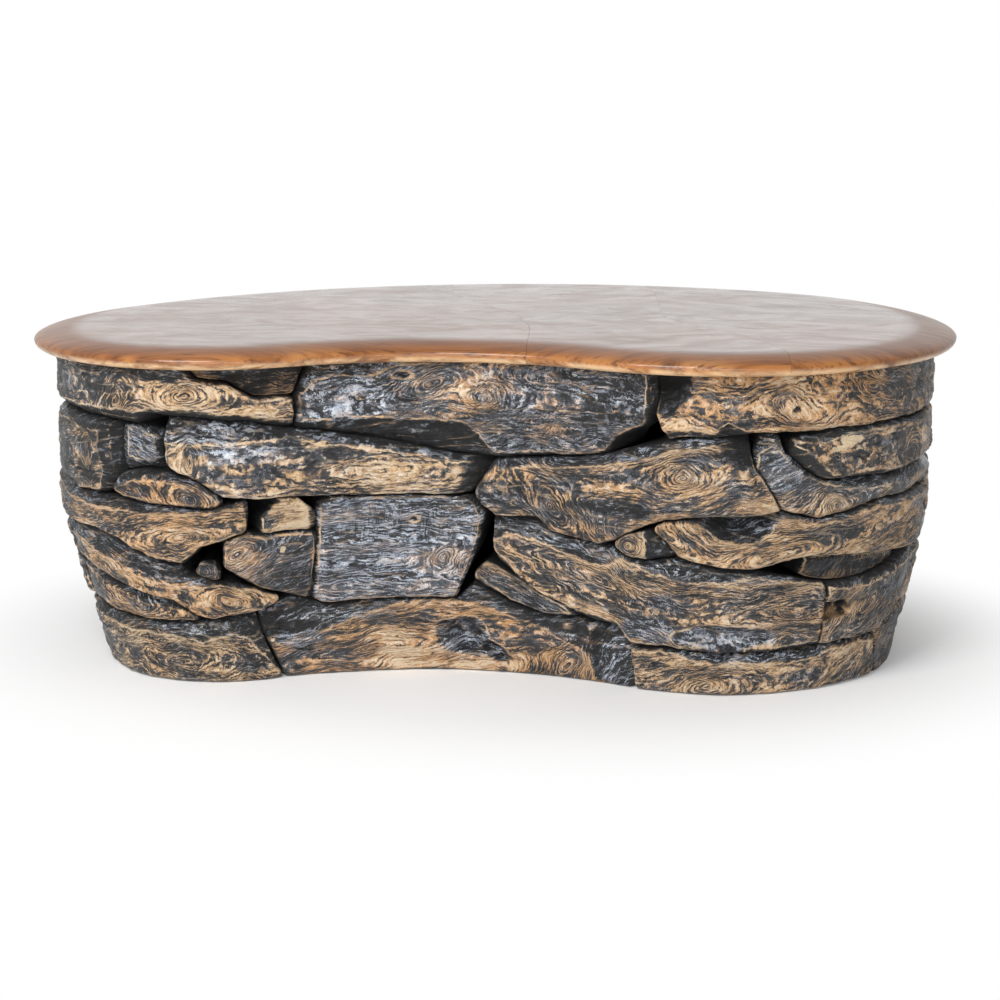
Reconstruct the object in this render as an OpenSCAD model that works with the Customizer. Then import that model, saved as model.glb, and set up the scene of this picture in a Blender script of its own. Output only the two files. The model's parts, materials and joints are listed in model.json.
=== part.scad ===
// Kidney-shaped coffee table: a three-board top on a base of stacked reclaimed wood blocks.
// Millimetres, +Z up. The origin is on the floor, under the middle of the top's outline.
// +X runs along the table's length and the dip in its front faces -Y.

/* [Overall] */
// Height of the table
table_h = 450; // [420:5:500]
// Thickness of the top's boards
top_t = 27; // [24:1:34]

/* [Outline of the top] */
// Radius of the left tip
left_tip_r = 264; // [250:2:290]
// Radius of the left lobe's front
left_front_r = 238; // [230:2:250]
// Radius of the right lobe's front
right_front_r = 313; // [300:2:330]
// Radius of the right tip
right_tip_r = 357; // [340:2:380]
// Turn of the left tip's arc
left_tip_turn = 70; // [68:1:72]
// Turn of the left lobe's front arc
left_front_turn = 88; // [86:1:90]
// Turn of the concave dip's arc
dip_turn = 62; // [60:1:64]
// Turn of the right lobe's front arc
right_front_turn = 102; // [100:1:104]
// Turn of the right tip's arc
right_tip_turn = 82; // [80:1:84]
// Heading of the outline where the left tip's arc starts
start_heading = -130.5; // [-134:0.5:-127]

/* [Edge of the top] */
// Height of the edge's upper roll
upper_roll_h = 16; // [12:1:18]
// Width of the edge's upper roll along the front and back
front_roll_w = 34; // [24:1:50]
// Width of the edge's upper roll at the two tips
tip_roll_w = 90; // [60:2:110]
// Width of the edge's lower roll
lower_roll_w = 16; // [8:1:22]

/* [Base] */
// Overhang of the top past the base's upper part
overhang = 27; // [22:1:40]
// Inset of the foot at the left end
foot_inset_left = 63; // [30:1:70]
// Inset of the foot at the right end
foot_inset_right = 48; // [30:1:70]
// Height over which the base draws in
taper_h = 230; // [150:5:300]
// Thickness of the ring of blocks
block_t = 95; // [85:1:105]
// Depth of the rounded shoulder on a block's edges
shoulder_d = 14; // [8:1:20]
// Gap between neighbouring blocks
joint_gap = 0.4; // [0.2:0.1:1]

/* [Dowels] */
// Diameter of the bed dowels
dowel_d = 10; // [8:1:12]
// Length of the bed dowels
dowel_l = 40; // [30:2:46]
// Depth of the dowels behind the base's face
dowel_in = 50; // [42:1:56]
// Clearance round a dowel
dowel_gap = 0.1; // [0.1:0.05:0.3]

/* [Battens and screws] */
// Width of a batten under the top
batten_w = 70; // [50:2:90]
// Thickness of a batten
batten_t = 20; // [16:1:26]
// Place of the front batten, in front of the middle
front_batten_y = -25; // [-30:5:0]
// Place of the rear batten, behind the middle
rear_batten_y = 150; // [120:5:170]
// Length of a batten's end inside the ring of blocks
housing_l = 40; // [25:1:50]
// Clearance round a batten's end
housing_gap = 0.3; // [0.2:0.1:0.6]
// Diameter of the screws' shanks
screw_d = 4.5; // [4:0.5:6]
// Diameter of the screws' heads
screw_head_d = 9; // [8:0.5:12]
// Depth of the screws' points in the top
screw_bite = 16; // [10:1:20]
// Clearance round a screw
screw_gap = 0.1; // [0.1:0.05:0.3]

/* [Hidden] */
// Width of the seam between two boards of the top
seam_gap = 0.4;
// Length and height of the wall that the blocks below are drawn on
DRAWN_L = 3230;
DRAWN_H = 423;
// Least height of a block where its outline runs out to a tip
TIP_H = 9;
// Longest step between two cross-sections of a block
STEP = 45;
// Length of the rounding at a block's ends
END_L = 10;
ROUND_FN = 32;
HOLLOW_FN = 20;
// Reach of a saw cut past the edge it starts from
SAW_REACH = 90;

base_h = table_h - top_t;
lower_roll_h = top_t - upper_roll_h;

// Colours
CHAR = "#3a342e";
CHAR_BLUE = "#3c4148";
CHAR_BROWN = "#54432f";
CHAR_GOLD = "#7a5d39";
OILED = "#b3733d";
OILED_DARK = "#a66836";
PALE_WOOD = "#c9a878";
DOWEL_WOOD = "#b98f5e";
STEEL = "#9a9da1";

// Outline of the top: six tangent arcs, counter-clockwise from the back of the left tip.
// Two of the radii, the dip's and the back's, follow from the outline closing on itself.
TURNS = [left_tip_turn, left_front_turn, -dip_turn, right_front_turn, right_tip_turn,
    360 + dip_turn - left_tip_turn - left_front_turn - right_front_turn - right_tip_turn];
DIP = 2;
BACK = 5;
function arc_heading(i) = i == 0 ? start_heading : arc_heading(i - 1) + TURNS[i - 1];
// Travel along an arc of radius 1
function arc_travel(i) = let (a = arc_heading(i), b = a + TURNS[i])
    sign(TURNS[i]) * [sin(b) - sin(a), cos(a) - cos(b)];
KNOWN = left_tip_r * arc_travel(0) + left_front_r * arc_travel(1)
    + right_front_r * arc_travel(3) + right_tip_r * arc_travel(4);
function cross2(a, b) = a.x * b.y - a.y * b.x;
CLOSE = cross2(arc_travel(DIP), arc_travel(BACK));
dip_r = -cross2(KNOWN, arc_travel(BACK)) / CLOSE;
back_r = -cross2(arc_travel(DIP), KNOWN) / CLOSE;
RADII = [left_tip_r, left_front_r, dip_r, right_front_r, right_tip_r, back_r];
function arc_l(i) = RADII[i] * abs(TURNS[i]) * PI / 180;
function arc_from(i) = i == 0 ? 0 : arc_from(i - 1) + arc_l(i - 1);
function arc_start(i) = i == 0 ? [0, 0] : arc_start(i - 1) + RADII[i - 1] * arc_travel(i - 1);
HEADINGS = [for (i = [0:5]) arc_heading(i)];
FROM = [for (i = [0:6]) arc_from(i)];
STARTS = [for (i = [0:5]) arc_start(i)];
rim_l = FROM[6];

// Point and outward normal of the outline at the length s along it
function raw_rim(s) = let (
        t = s - rim_l * floor(s / rim_l),
        i = max([for (k = [0:5]) if (t >= FROM[k]) k]),
        bend = sign(TURNS[i]),
        a = HEADINGS[i],
        b = a + bend * (t - FROM[i]) / RADII[i] * 180 / PI,
        p = STARTS[i] + RADII[i] * bend * [sin(b) - sin(a), cos(a) - cos(b)])
    [p.x, p.y, sin(b), -cos(b)];
RIM_STEPS = 360;
RAW_RIM = [for (k = [0:RIM_STEPS - 1]) raw_rim(k * rim_l / RIM_STEPS)];
x_min = min([for (p = RAW_RIM) p[0]]);
x_max = max([for (p = RAW_RIM) p[0]]);
y_mid = (min([for (p = RAW_RIM) p[1]]) + max([for (p = RAW_RIM) p[1]])) / 2;
x_mid = (x_min + x_max) / 2;
function rim(s) = raw_rim(s) - [x_mid, y_mid, 0, 0];

// A place on the base: u along the drawn wall, z above the floor, d behind the face
function foot_inset(x) = foot_inset_left
    + (foot_inset_right - foot_inset_left) * (x + x_mid - x_min) / (x_max - x_min);
function draw_in(x, z) = foot_inset(x) * pow(max(0, 1 - z / taper_h), 1.2);
function wall(u, z, d) = let (
        r = rim(u * rim_l / DRAWN_L),
        off = overhang + draw_in(r[0], z) + d)
    [r[0] - off * r[2], r[1] - off * r[3], z];
function real_z(z) = z * base_h / DRAWN_H;

// Bed dowels [u, z]: each crosses the joint between a block and the one that it lies on
DOWELS = [
    [350, 351], [450, 347], [600, 354], [230, 350], [770, 329], [850, 311], [1000, 302], [1060, 309],
    [1230, 342], [1480, 350], [1620, 350], [300, 260], [380, 251], [475, 291], [560, 280], [800, 248],
    [870, 248], [510, 244], [970, 222], [1060, 197], [1420, 237], [1560, 250], [1440, 285], [1620, 282],
    [1730, 248], [400, 198], [480, 174], [620, 203], [340, 143], [440, 126], [620, 96], [320, 89],
    [480, 85], [715, 110], [700, 206], [790, 103], [870, 104], [1060, 86], [1200, 60], [1340, 57],
    [960, 98], [1130, 181], [1240, 177], [1285, 173], [1480, 180], [1650, 168], [1500, 146], [1490, 62],
    [1650, 86],
    [1800, 345], [1950, 347], [2180, 342], [2280, 336], [2430, 342], [2640, 347], [2840, 354], [3050, 338],
    [3220, 344], [3380, 349],
    [1820, 272], [1960, 264], [2190, 259], [2290, 268], [2420, 266], [2660, 252], [2860, 271], [2960, 279],
    [3080, 265], [3220, 254], [3400, 258],
    [1780, 171], [1930, 172], [2050, 164], [2220, 155], [2370, 157], [2500, 167], [2660, 175], [2800, 175],
    [2940, 164], [3100, 164], [3260, 175], [3410, 192],
    [1850, 83], [1950, 79], [2100, 85], [2280, 85], [2520, 78], [2700, 88], [2970, 78], [3110, 83],
    [3260, 92], [3400, 93]];

module at_dowel(k) {
    p = wall(k[0], real_z(k[1]), dowel_in);
    translate(p) children();
}

// Cross-section of a block at u, as [depth, z], from the face's foot back, up and round to the face
function block_profile(top, bottom, u, shoulders, set_back, end_pull) = let (
        t = lookup(u, top),
        b = lookup(u, bottom),
        zt = t >= DRAWN_H ? base_h : real_z(t) - joint_gap / 2,
        zb = b <= 0 ? 0 : real_z(b) + joint_gap / 2,
        st = min(shoulders[0] + end_pull, 0.4 * (zt - zb)),
        sb = min(shoulders[1] + end_pull, 0.4 * (zt - zb)),
        face = set_back + end_pull)
    [[face, zb + sb], [face + 0.3 * shoulder_d, zb + 0.3 * sb], [face + shoulder_d, zb], [block_t, zb],
    [block_t, zt], [face + shoulder_d, zt], [face + 0.3 * shoulder_d, zt - 0.3 * st], [face, zt - st]];

// Places along u of a block's cross-sections: its ends, its corners and steps between them
function tall_enough(top, bottom, u) = lookup(u, top) - lookup(u, bottom) >= TIP_H;
function is_corner(line, u, near) = len([for (p = line) if (abs(p[0] - u) <= near) 1]) > 0;
function block_stations(top, bottom) = let (
        from = top[0][0],
        to = top[len(top) - 1][0],
        inside = [for (u = [from:to]) if (tall_enough(top, bottom, u)) u],
        a = inside[0],
        b = inside[len(inside) - 1],
        first = 5 * ceil((a + END_L + 3) / 5),
        mid = [for (u = [first:5:b - END_L - 3])
            if (is_corner(top, u, 0) || is_corner(bottom, u, 0)
                || (u % STEP == 0 && !is_corner(top, u, 15) && !is_corner(bottom, u, 15))) u])
    concat([a, a + END_L], mid, [b - END_L, b]);

// Solid through a row of rings with the same number of points, closed by its first and last ring
module loft(rings) {
    n = len(rings[0]);
    last = len(rings) - 1;
    points = [for (r = rings) each r];
    side_a = [for (i = [0:last - 1], k = [0:n - 1]) [i * n + k, i * n + n + k, i * n + (k + 1) % n]];
    side_b = [for (i = [0:last - 1], k = [0:n - 1])
        [i * n + (k + 1) % n, i * n + n + k, i * n + n + (k + 1) % n]];
    caps = [[for (k = [0:n - 1]) k], [for (k = [n - 1:-1:0]) last * n + k]];
    polyhedron(points, concat(side_a, side_b, caps), convexity = 8);
}

// A block of the base. Its outline is drawn on the unrolled wall: a top line and a bottom line of
// [u, z] corners, left to right. The face follows the base's surface, set_back behind it.
module block(top, bottom, shoulders = [6, 6], set_back = 0) {
    stations = block_stations(top, bottom);
    last = len(stations) - 1;
    rings = [for (i = [0:last])
        [for (p = block_profile(top, bottom, stations[i], shoulders, set_back,
            i == 0 || i == last ? 0.6 * END_L : 0))
            wall(stations[i], p[1], p[0])]];
    difference() {
        loft(rings);
        dowel_bores(top, bottom);
        if (top[0][1] >= DRAWN_H || top[1][1] >= DRAWN_H) batten_housings();
    }
}

// Axes of the face at (u, z): X along the wall, -Y out of the face
module on_face(u, z) {
    r = rim(u * rim_l / DRAWN_L);
    translate(wall(u, real_z(z), 0)) rotate([0, 0, atan2(r[2], -r[3])]) children();
}
// Hollow in a block's face at (u, z). Its size is half its length, half its height and its depth.
module hollow(u, z, size, tilt = 0) {
    on_face(u, z) rotate([0, -tilt, 0]) scale([size[0], size[2], size[1]]) sphere(1, $fn = HOLLOW_FN);
}
// Sawn end of a block: past its edge through (u, z) the face turns in by some degrees, on the right or left.
// lean is the edge's lean to the right of plumb.
module sawn_end(u, z, turn, lean) {
    side = sign(turn);
    on_face(u, z) rotate([0, lean, 0]) rotate([0, 0, turn])
        translate([side > 0 ? 0 : -SAW_REACH, -SAW_REACH, -SAW_REACH])
            cube([SAW_REACH, SAW_REACH, 2 * SAW_REACH]);
}
// Square notch in the left end of a block: its foot's far end is size[0] past (u, z)
module notch(u, z, size, tilt) {
    on_face(u, z) rotate([0, -tilt, 0]) translate([-SAW_REACH, -SAW_REACH, 0])
        cube([SAW_REACH + size[0], SAW_REACH + size[2], size[1]]);
}

module dowel_bores(top, bottom) {
    from = top[0][0];
    to = top[len(top) - 1][0];
    for (k = DOWELS, turn = [0, DRAWN_L]) {
        u = k[0] + turn;
        if (u > from && u < to && k[1] < lookup(u, top) + 5 && k[1] > lookup(u, bottom) - 5)
            at_dowel(k) cylinder(d = dowel_d + 2 * dowel_gap, h = dowel_l + 2 * dowel_gap, center = true,
                $fn = ROUND_FN);
    }
}

// Battens: each spans the hollow base at its y, and its ends are let into the ring of blocks
INNER = [for (k = [0:5:DRAWN_L]) wall(k, base_h, block_t)];
function inner_left(y) = max([for (p = INNER) if (p.x < 0 && abs(p.y - y) < batten_w / 2 + 5) p.x]);
function inner_right(y) = min([for (p = INNER) if (p.x > 0 && abs(p.y - y) < batten_w / 2 + 5) p.x]);
module batten_bar(y, gap) {
    from = inner_left(y) - housing_l;
    to = inner_right(y) + housing_l;
    translate([from - gap, y - batten_w / 2 - gap, base_h - batten_t - gap])
        cube([to - from + 2 * gap, batten_w + 2 * gap, batten_t + gap + (gap > 0 ? 1 : 0)]);
}
module batten_housings() {
    batten_bar(front_batten_y, housing_gap);
    batten_bar(rear_batten_y, housing_gap);
}

// Seams of the top, front to back, as [x, y]. The first and last point lie past the rim.
LEFT_SEAM = [[28, -420], [41, -190], [43, -125], [36, -50], [22, 18], [-19, 109], [-47, 179], [-58, 216],
    [-58, 420]];
RIGHT_SEAM = [[362, -420], [352, -294], [312, -188], [229, -31], [226, 99], [224, 261], [205, 420]];
// Screws through the battens, as x along the batten: two for each board
FRONT_SCREWS = [-380, -160, 110, 180, 320, 440];
REAR_SCREWS = [-200, -90, 20, 150, 250, 290];
module each_screw() {
    for (x = FRONT_SCREWS) translate([x, front_batten_y, base_h - batten_t]) children();
    for (x = REAR_SCREWS) translate([x, rear_batten_y, base_h - batten_t]) children();
}
// A countersunk screw, head down, with its point up in the top
module screw(gap, reach) {
    cone_h = (screw_head_d - screw_d) / 2;
    r = screw_d / 2 + gap;
    rotate_extrude($fn = ROUND_FN) polygon([[0, -gap], [r + cone_h, -gap], [r, cone_h], [r, reach], [0, reach]]);
}

// Top: levels of the rolled edge, from the underside's edge out to the nose and in over the upper roll.
// A board is a loft through the levels. At each one its outline is a stretch of the rim and its seams.
LOWER = 0;
UPPER = 1;
LEVELS = concat([for (a = [0:30:90]) [LOWER, a]], [for (a = [15:15:90]) [UPPER, a]]);
BOARD_STEP = 36;
function roll_w(n) = front_roll_w + (tip_roll_w - front_roll_w) * pow(abs(n), 3);
function edge_point(s, level) = let (
        r = rim(s),
        a = level[1],
        w = level[0] == LOWER ? lower_roll_w * (1 - sin(a)) : roll_w(r[2]) * (1 - cos(a)),
        z = level[0] == LOWER ? lower_roll_h * (1 - cos(a)) : lower_roll_h + upper_roll_h * sin(a))
    [r[0] - w * r[2], r[1] - w * r[3], base_h + z];

// Length along the rim at which a level's outline crosses a seam, between lo and hi
function beside(seam, p) = p.x - lookup(p.y, [for (q = seam) [q.y, q.x]]);
function crossing(seam, level, lo, hi, tries = 30) = let (m = (lo + hi) / 2)
    tries == 0 ? m
    : beside(seam, edge_point(m, level)) * beside(seam, edge_point(lo, level)) > 0
        ? crossing(seam, level, m, hi, tries - 1)
        : crossing(seam, level, lo, m, tries - 1);
function front_crossing(seam, level) = crossing(seam, level, FROM[1], FROM[4]);
function rear_crossing(seam, level) = crossing(seam, level, FROM[BACK], rim_l);
function edge_run(level, a, b, steps) = [for (k = [0:steps]) edge_point(a + (b - a) * k / steps, level)];
function run_steps(a, b) = ceil((b - a) / BOARD_STEP);
function seam_run(seam, level) = let (z = edge_point(0, level).z)
    [for (k = [1:len(seam) - 2]) [seam[k].x, seam[k].y, z]];
function backwards(list) = [for (k = [len(list) - 1:-1:0]) list[k]];
function moved(line, dx) = [for (p = line) [p.x + dx, p.y]];
NOSE = [LOWER, 90];

module board(rings) {
    difference() {
        loft(rings);
        each_screw() screw(screw_gap, batten_t + screw_bite + screw_gap);
    }
}
module left_board() color(OILED) {
    seam = moved(LEFT_SEAM, -seam_gap / 2);
    steps = run_steps(rear_crossing(seam, NOSE) - rim_l, front_crossing(seam, NOSE));
    board([for (level = LEVELS) concat(
        edge_run(level, rear_crossing(seam, level) - rim_l, front_crossing(seam, level), steps),
        seam_run(seam, level))]);
}
module centre_board() color(OILED_DARK) {
    left = moved(LEFT_SEAM, seam_gap / 2);
    right = moved(RIGHT_SEAM, -seam_gap / 2);
    front_steps = run_steps(front_crossing(left, NOSE), front_crossing(right, NOSE));
    rear_steps = run_steps(rear_crossing(right, NOSE), rear_crossing(left, NOSE));
    board([for (level = LEVELS) concat(
        edge_run(level, front_crossing(left, level), front_crossing(right, level), front_steps),
        seam_run(right, level),
        edge_run(level, rear_crossing(right, level), rear_crossing(left, level), rear_steps),
        backwards(seam_run(left, level)))]);
}
module right_board() color(OILED) {
    seam = moved(RIGHT_SEAM, seam_gap / 2);
    steps = run_steps(front_crossing(seam, NOSE), rear_crossing(seam, NOSE));
    board([for (level = LEVELS) concat(
        edge_run(level, front_crossing(seam, level), rear_crossing(seam, level), steps),
        backwards(seam_run(seam, level)))]);
}

module front_batten() color(PALE_WOOD) batten(front_batten_y);
module rear_batten() color(PALE_WOOD) batten(rear_batten_y);
module batten(y) {
    difference() {
        batten_bar(y, 0);
        each_screw() screw(screw_gap, batten_t + 1);
    }
}
module batten_screws() color(STEEL) each_screw() screw(0, batten_t + screw_bite);
module bed_dowels() color(DOWEL_WOOD) for (k = DOWELS)
    at_dowel(k) cylinder(d = dowel_d, h = dowel_l, center = true, $fn = ROUND_FN);

// Blocks of the front, course by course from the top
module upper_left_block() color(CHAR_GOLD) block(
    top = [[200, DRAWN_H], [545, DRAWN_H], [560, 408], [610, 402], [632, 388], [655, 382], [667, 389],
        [710, 380]],
    bottom = [[200, 350], [300, 352], [435, 348], [465, 346], [490, 361], [560, 358], [650, 350],
        [704, 341]],
    shoulders = [4, 12]);
module upper_left_filler() color(CHAR_BROWN) block(
    top = [[545, DRAWN_H], [730, DRAWN_H]],
    bottom = [[545, DRAWN_H], [560, 408], [610, 402], [632, 388], [655, 382], [667, 389], [710, 380],
        [730, DRAWN_H]],
    shoulders = [3, 6], set_back = 20);
module upper_centre_block() color(CHAR_BLUE) block(
    top = [[711, 380], [730, DRAWN_H], [1160, DRAWN_H]],
    bottom = [[711, 340], [750, 334], [780, 326], [845, 312], [895, 300], [945, 298], [1000, 302],
        [1050, 308], [1085, 314], [1105, 337], [1150, 357], [1160, 380]],
    shoulders = [4, 16]);
module upper_right_block() color(CHAR_GOLD) difference() {
    block(
        top = [[1160, DRAWN_H], [1700, DRAWN_H]],
        bottom = [[1160, 365], [1180, 338], [1250, 343], [1300, 347], [1400, 348], [1450, 350], [1700, 350]],
        shoulders = [4, 7]);
    hollow(1170, 412, [40, 42, 24]);
}
module left_end_block() color(CHAR) block(
    top = [[250, 351], [300, 352], [425, 348]],
    bottom = [[250, 262], [300, 260], [345, 251], [385, 251], [415, 262], [425, 273]],
    shoulders = [12, 12]);
module end_grain_block() color(CHAR_BLUE) block(
    top = [[425, 348], [465, 346], [500, 338]],
    bottom = [[425, 273], [435, 284], [475, 291], [500, 288]],
    shoulders = [8, 6], set_back = 16);
module long_arch_block() color(CHAR_GOLD) difference() {
    block(
        top = [[515, 360], [560, 358], [650, 350], [704, 341], [711, 340], [750, 334], [780, 326],
            [845, 312], [895, 300], [945, 298]],
        bottom = [[515, 298], [560, 280], [600, 257], [650, 252], [710, 252], [750, 250], [800, 248],
            [880, 248], [915, 249], [945, 298]],
        shoulders = [20, 6]);
    sawn_end(887, 270, 32, 17);
}
module oval_block() color(CHAR_BROWN) block(
    top = [[415, 262], [435, 284], [475, 291], [505, 288], [560, 280], [600, 257]],
    bottom = [[415, 262], [455, 250], [515, 244], [570, 241], [600, 246]],
    shoulders = [8, 8]);
module swirl_block() color(CHAR_BROWN) difference() {
    block(
        top = [[915, 249], [945, 298], [1000, 302], [1050, 308], [1085, 314], [1130, 327], [1180, 338],
            [1250, 343], [1295, 346], [1300, 312], [1345, 249]],
        bottom = [[915, 249], [930, 232], [945, 222], [995, 222], [1015, 204], [1045, 199], [1070, 195],
            [1095, 202], [1115, 213], [1150, 228], [1175, 235], [1250, 243], [1300, 241], [1345, 249]],
        shoulders = [10, 12]);
    sawn_end(1300, 280, 28, -58);
}
module square_end_block() color(CHAR_BLUE) block(
    top = [[1300, 312], [1305, 347], [1335, 347], [1345, 326], [1380, 300], [1410, 284], [1460, 285],
        [1505, 281], [1560, 280], [1630, 282], [1720, 283], [1765, 278]],
    bottom = [[1300, 312], [1345, 249], [1400, 235], [1445, 240], [1500, 250], [1700, 250],
        [1755, 246], [1765, 278]],
    shoulders = [6, 8], set_back = 4);
module right_shoulder_block() color(CHAR_BROWN) block(
    top = [[1355, 340], [1400, 348], [1450, 350], [1700, 350], [1720, 350]],
    bottom = [[1355, 319], [1380, 300], [1410, 284], [1460, 285], [1505, 281], [1560, 280],
        [1630, 282], [1720, 283]],
    shoulders = [9, 9]);
module fan_grain_block() color(CHAR_GOLD) block(
    top = [[225, 262], [300, 260], [345, 251], [385, 251], [455, 250], [515, 244], [570, 241],
        [600, 246], [640, 252]],
    bottom = [[225, 200], [310, 201], [375, 203], [425, 193], [460, 180], [495, 169], [535, 167],
        [565, 190], [600, 197], [640, 210]],
    shoulders = [7, 9]);
module pointed_block() color(CHAR_BROWN) block(
    top = [[260, 200], [310, 200], [375, 203], [425, 193], [460, 180], [495, 169], [520, 167],
        [545, 150], [580, 142], [630, 138], [665, 129], [706, 116]],
    bottom = [[260, 148], [320, 147], [390, 135], [445, 125], [510, 115], [550, 95], [580, 89],
        [600, 93], [660, 99], [706, 116]],
    shoulders = [14, 9]);
module left_wedge_block() color(CHAR) block(
    top = [[260, 148], [320, 147], [390, 135], [445, 125], [510, 115], [550, 95]],
    bottom = [[260, 92], [300, 90], [365, 87], [440, 85], [500, 85], [550, 86]],
    shoulders = [10, 8], set_back = 6);
module ring_knot_block() color(CHAR_BROWN) block(
    top = [[600, 197], [640, 210], [660, 207], [735, 205]],
    bottom = [[600, 163], [640, 141], [665, 129], [706, 116], [735, 109]],
    shoulders = [10, 14]);
module weathered_block() color(CHAR_BLUE) block(
    top = [[735, 240], [750, 250], [800, 248], [880, 248], [915, 245], [930, 228]],
    bottom = [[735, 109], [745, 103], [780, 103], [850, 104], [895, 104], [920, 172], [930, 215]],
    shoulders = [10, 8]);
module tan_wedge_block() color(CHAR_GOLD) block(
    top = [[660, 225], [690, 252], [710, 252], [735, 230]],
    bottom = [[660, 207], [735, 205]],
    shoulders = [6, 6], set_back = 2);
module branch_stub() color(CHAR_BROWN) block(
    top = [[550, 158], [560, 168], [585, 168], [595, 156]],
    bottom = [[550, 149], [580, 142], [595, 141]],
    shoulders = [8, 6], set_back = 16);
module lumpy_block() color(CHAR_BROWN) difference() {
    block(
        top = [[940, 222], [995, 222], [1015, 204], [1045, 199], [1070, 195], [1095, 193], [1115, 182],
            [1150, 179], [1195, 186], [1220, 180], [1275, 173], [1300, 172], [1335, 165], [1390, 155],
            [1430, 148]],
        bottom = [[940, 168], [975, 127], [1020, 103], [1040, 90], [1085, 81], [1105, 60], [1170, 63],
            [1240, 57], [1340, 57], [1430, 62]],
        shoulders = [16, 9]);
    hollow(1262, 80, [76, 17, 13], -3);
}
module dark_wedge_block() color(CHAR) block(
    top = [[915, 140], [930, 155], [975, 127], [1020, 103], [1040, 90]],
    bottom = [[915, 128], [955, 100], [990, 88], [1040, 86]],
    shoulders = [8, 6], set_back = 8);
module round_branch_block() color(CHAR_BROWN) block(
    top = [[1095, 202], [1115, 213], [1150, 223], [1180, 203], [1195, 188]],
    bottom = [[1095, 193], [1115, 182], [1150, 179], [1195, 186]],
    shoulders = [10, 10], set_back = 4);
module dipped_block() color(CHAR_GOLD) difference() {
    block(
        top = [[1155, 226], [1175, 235], [1250, 243], [1300, 241], [1345, 249], [1400, 235],
            [1445, 240], [1500, 250], [1670, 250]],
        bottom = [[1155, 221], [1180, 203], [1195, 188], [1220, 180], [1275, 173], [1300, 172],
            [1330, 177], [1390, 187], [1440, 183], [1485, 180], [1580, 172], [1670, 169]],
        shoulders = [7, 10]);
    hollow(1277, 243, [62, 33, 28]);
}
module fibrous_block() color(CHAR) block(
    top = [[1390, 187], [1440, 183], [1485, 180], [1580, 172], [1620, 170]],
    bottom = [[1390, 158], [1430, 148], [1450, 147], [1510, 146], [1570, 152], [1620, 165]],
    shoulders = [4, 4], set_back = 20);
module notched_block() color(CHAR_BROWN) difference() {
    block(
        top = [[1430, 148], [1450, 147], [1510, 146], [1570, 152], [1620, 165], [1670, 169], [1700, 168]],
        bottom = [[1430, 62], [1475, 63], [1510, 62], [1560, 64], [1600, 82], [1700, 90]],
        shoulders = [10, 8]);
    notch(1430, 95, [38, 25, 22], 8);
}
module foot_left_block() color(CHAR_BROWN) block(
    top = [[230, 92], [260, 92], [300, 90], [365, 87], [440, 85], [500, 85], [550, 86], [580, 89],
        [600, 93], [660, 99], [710, 0]],
    bottom = [[230, 0], [710, 0]],
    shoulders = [16, 3]);
module knot_hole_block() color(CHAR_GOLD) difference() {
    block(
        top = [[660, 99], [706, 116], [735, 109], [745, 103], [780, 103], [850, 104], [895, 104],
            [915, 127], [955, 100], [990, 88], [1040, 86], [1085, 81], [1105, 60]],
        bottom = [[660, 99], [710, 0], [1105, 0]],
        shoulders = [10, 3]);
    hollow(905, 52, [22, 24, 32], 25);
    hollow(934, 30, [17, 9, 16], -38);
}
module foot_right_block() color(CHAR_BROWN) block(
    top = [[1105, 60], [1170, 63], [1240, 57], [1340, 57], [1430, 62], [1475, 63], [1510, 62],
        [1560, 64], [1590, 0]],
    bottom = [[1105, 0], [1590, 0]],
    shoulders = [7, 3]);
module foot_corner_block() color(CHAR) block(
    top = [[1560, 64], [1600, 82], [1700, 90], [1790, 85]],
    bottom = [[1560, 64], [1590, 0], [1790, 0]],
    shoulders = [8, 3]);

// Blocks of the right end, back and left end, course by course from the top
module rear_top_block_1() color(CHAR_BROWN) block(
    top = [[1700, DRAWN_H], [2090, DRAWN_H]],
    bottom = [[1700, 350], [1720, 350], [1860, 342], [2090, 356]],
    shoulders = [4, 9]);
module rear_top_block_2() color(CHAR) block(
    top = [[2090, DRAWN_H], [2520, DRAWN_H]],
    bottom = [[2090, 356], [2230, 335], [2400, 340], [2520, 350]],
    shoulders = [4, 9]);
module rear_top_block_3() color(CHAR_GOLD) block(
    top = [[2520, DRAWN_H], [2960, DRAWN_H]],
    bottom = [[2520, 350], [2720, 345], [2880, 358], [2960, 348]],
    shoulders = [4, 9]);
module rear_top_block_4() color(CHAR_BLUE) block(
    top = [[2960, DRAWN_H], [3430, DRAWN_H]],
    bottom = [[2960, 348], [3050, 338], [3250, 345], [3430, 350]],
    shoulders = [4, 9]);
module rear_upper_block_1() color(CHAR_BLUE) block(
    top = [[1720, 350], [1860, 342], [2010, 351]],
    bottom = [[1720, 283], [1765, 278], [1850, 268], [2010, 262]],
    shoulders = [8, 10]);
module rear_upper_block_2() color(CHAR_GOLD) block(
    top = [[2010, 351], [2090, 356], [2230, 335], [2330, 338]],
    bottom = [[2010, 262], [2150, 255], [2330, 272]],
    shoulders = [8, 10]);
module rear_upper_block_3() color(CHAR_BROWN) block(
    top = [[2330, 338], [2400, 340], [2520, 350], [2720, 345], [2760, 348]],
    bottom = [[2330, 272], [2480, 262], [2640, 250], [2760, 262]],
    shoulders = [8, 10]);
module rear_upper_block_4() color(CHAR) block(
    top = [[2760, 348], [2880, 358], [2960, 348], [3050, 338], [3140, 341]],
    bottom = [[2760, 262], [2950, 280], [3140, 258]],
    shoulders = [8, 10]);
module rear_upper_block_5() color(CHAR_GOLD) block(
    top = [[3140, 341], [3250, 345], [3430, 350], [3480, 351]],
    bottom = [[3140, 258], [3300, 250], [3455, 262], [3480, 262]],
    shoulders = [8, 10]);
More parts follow.
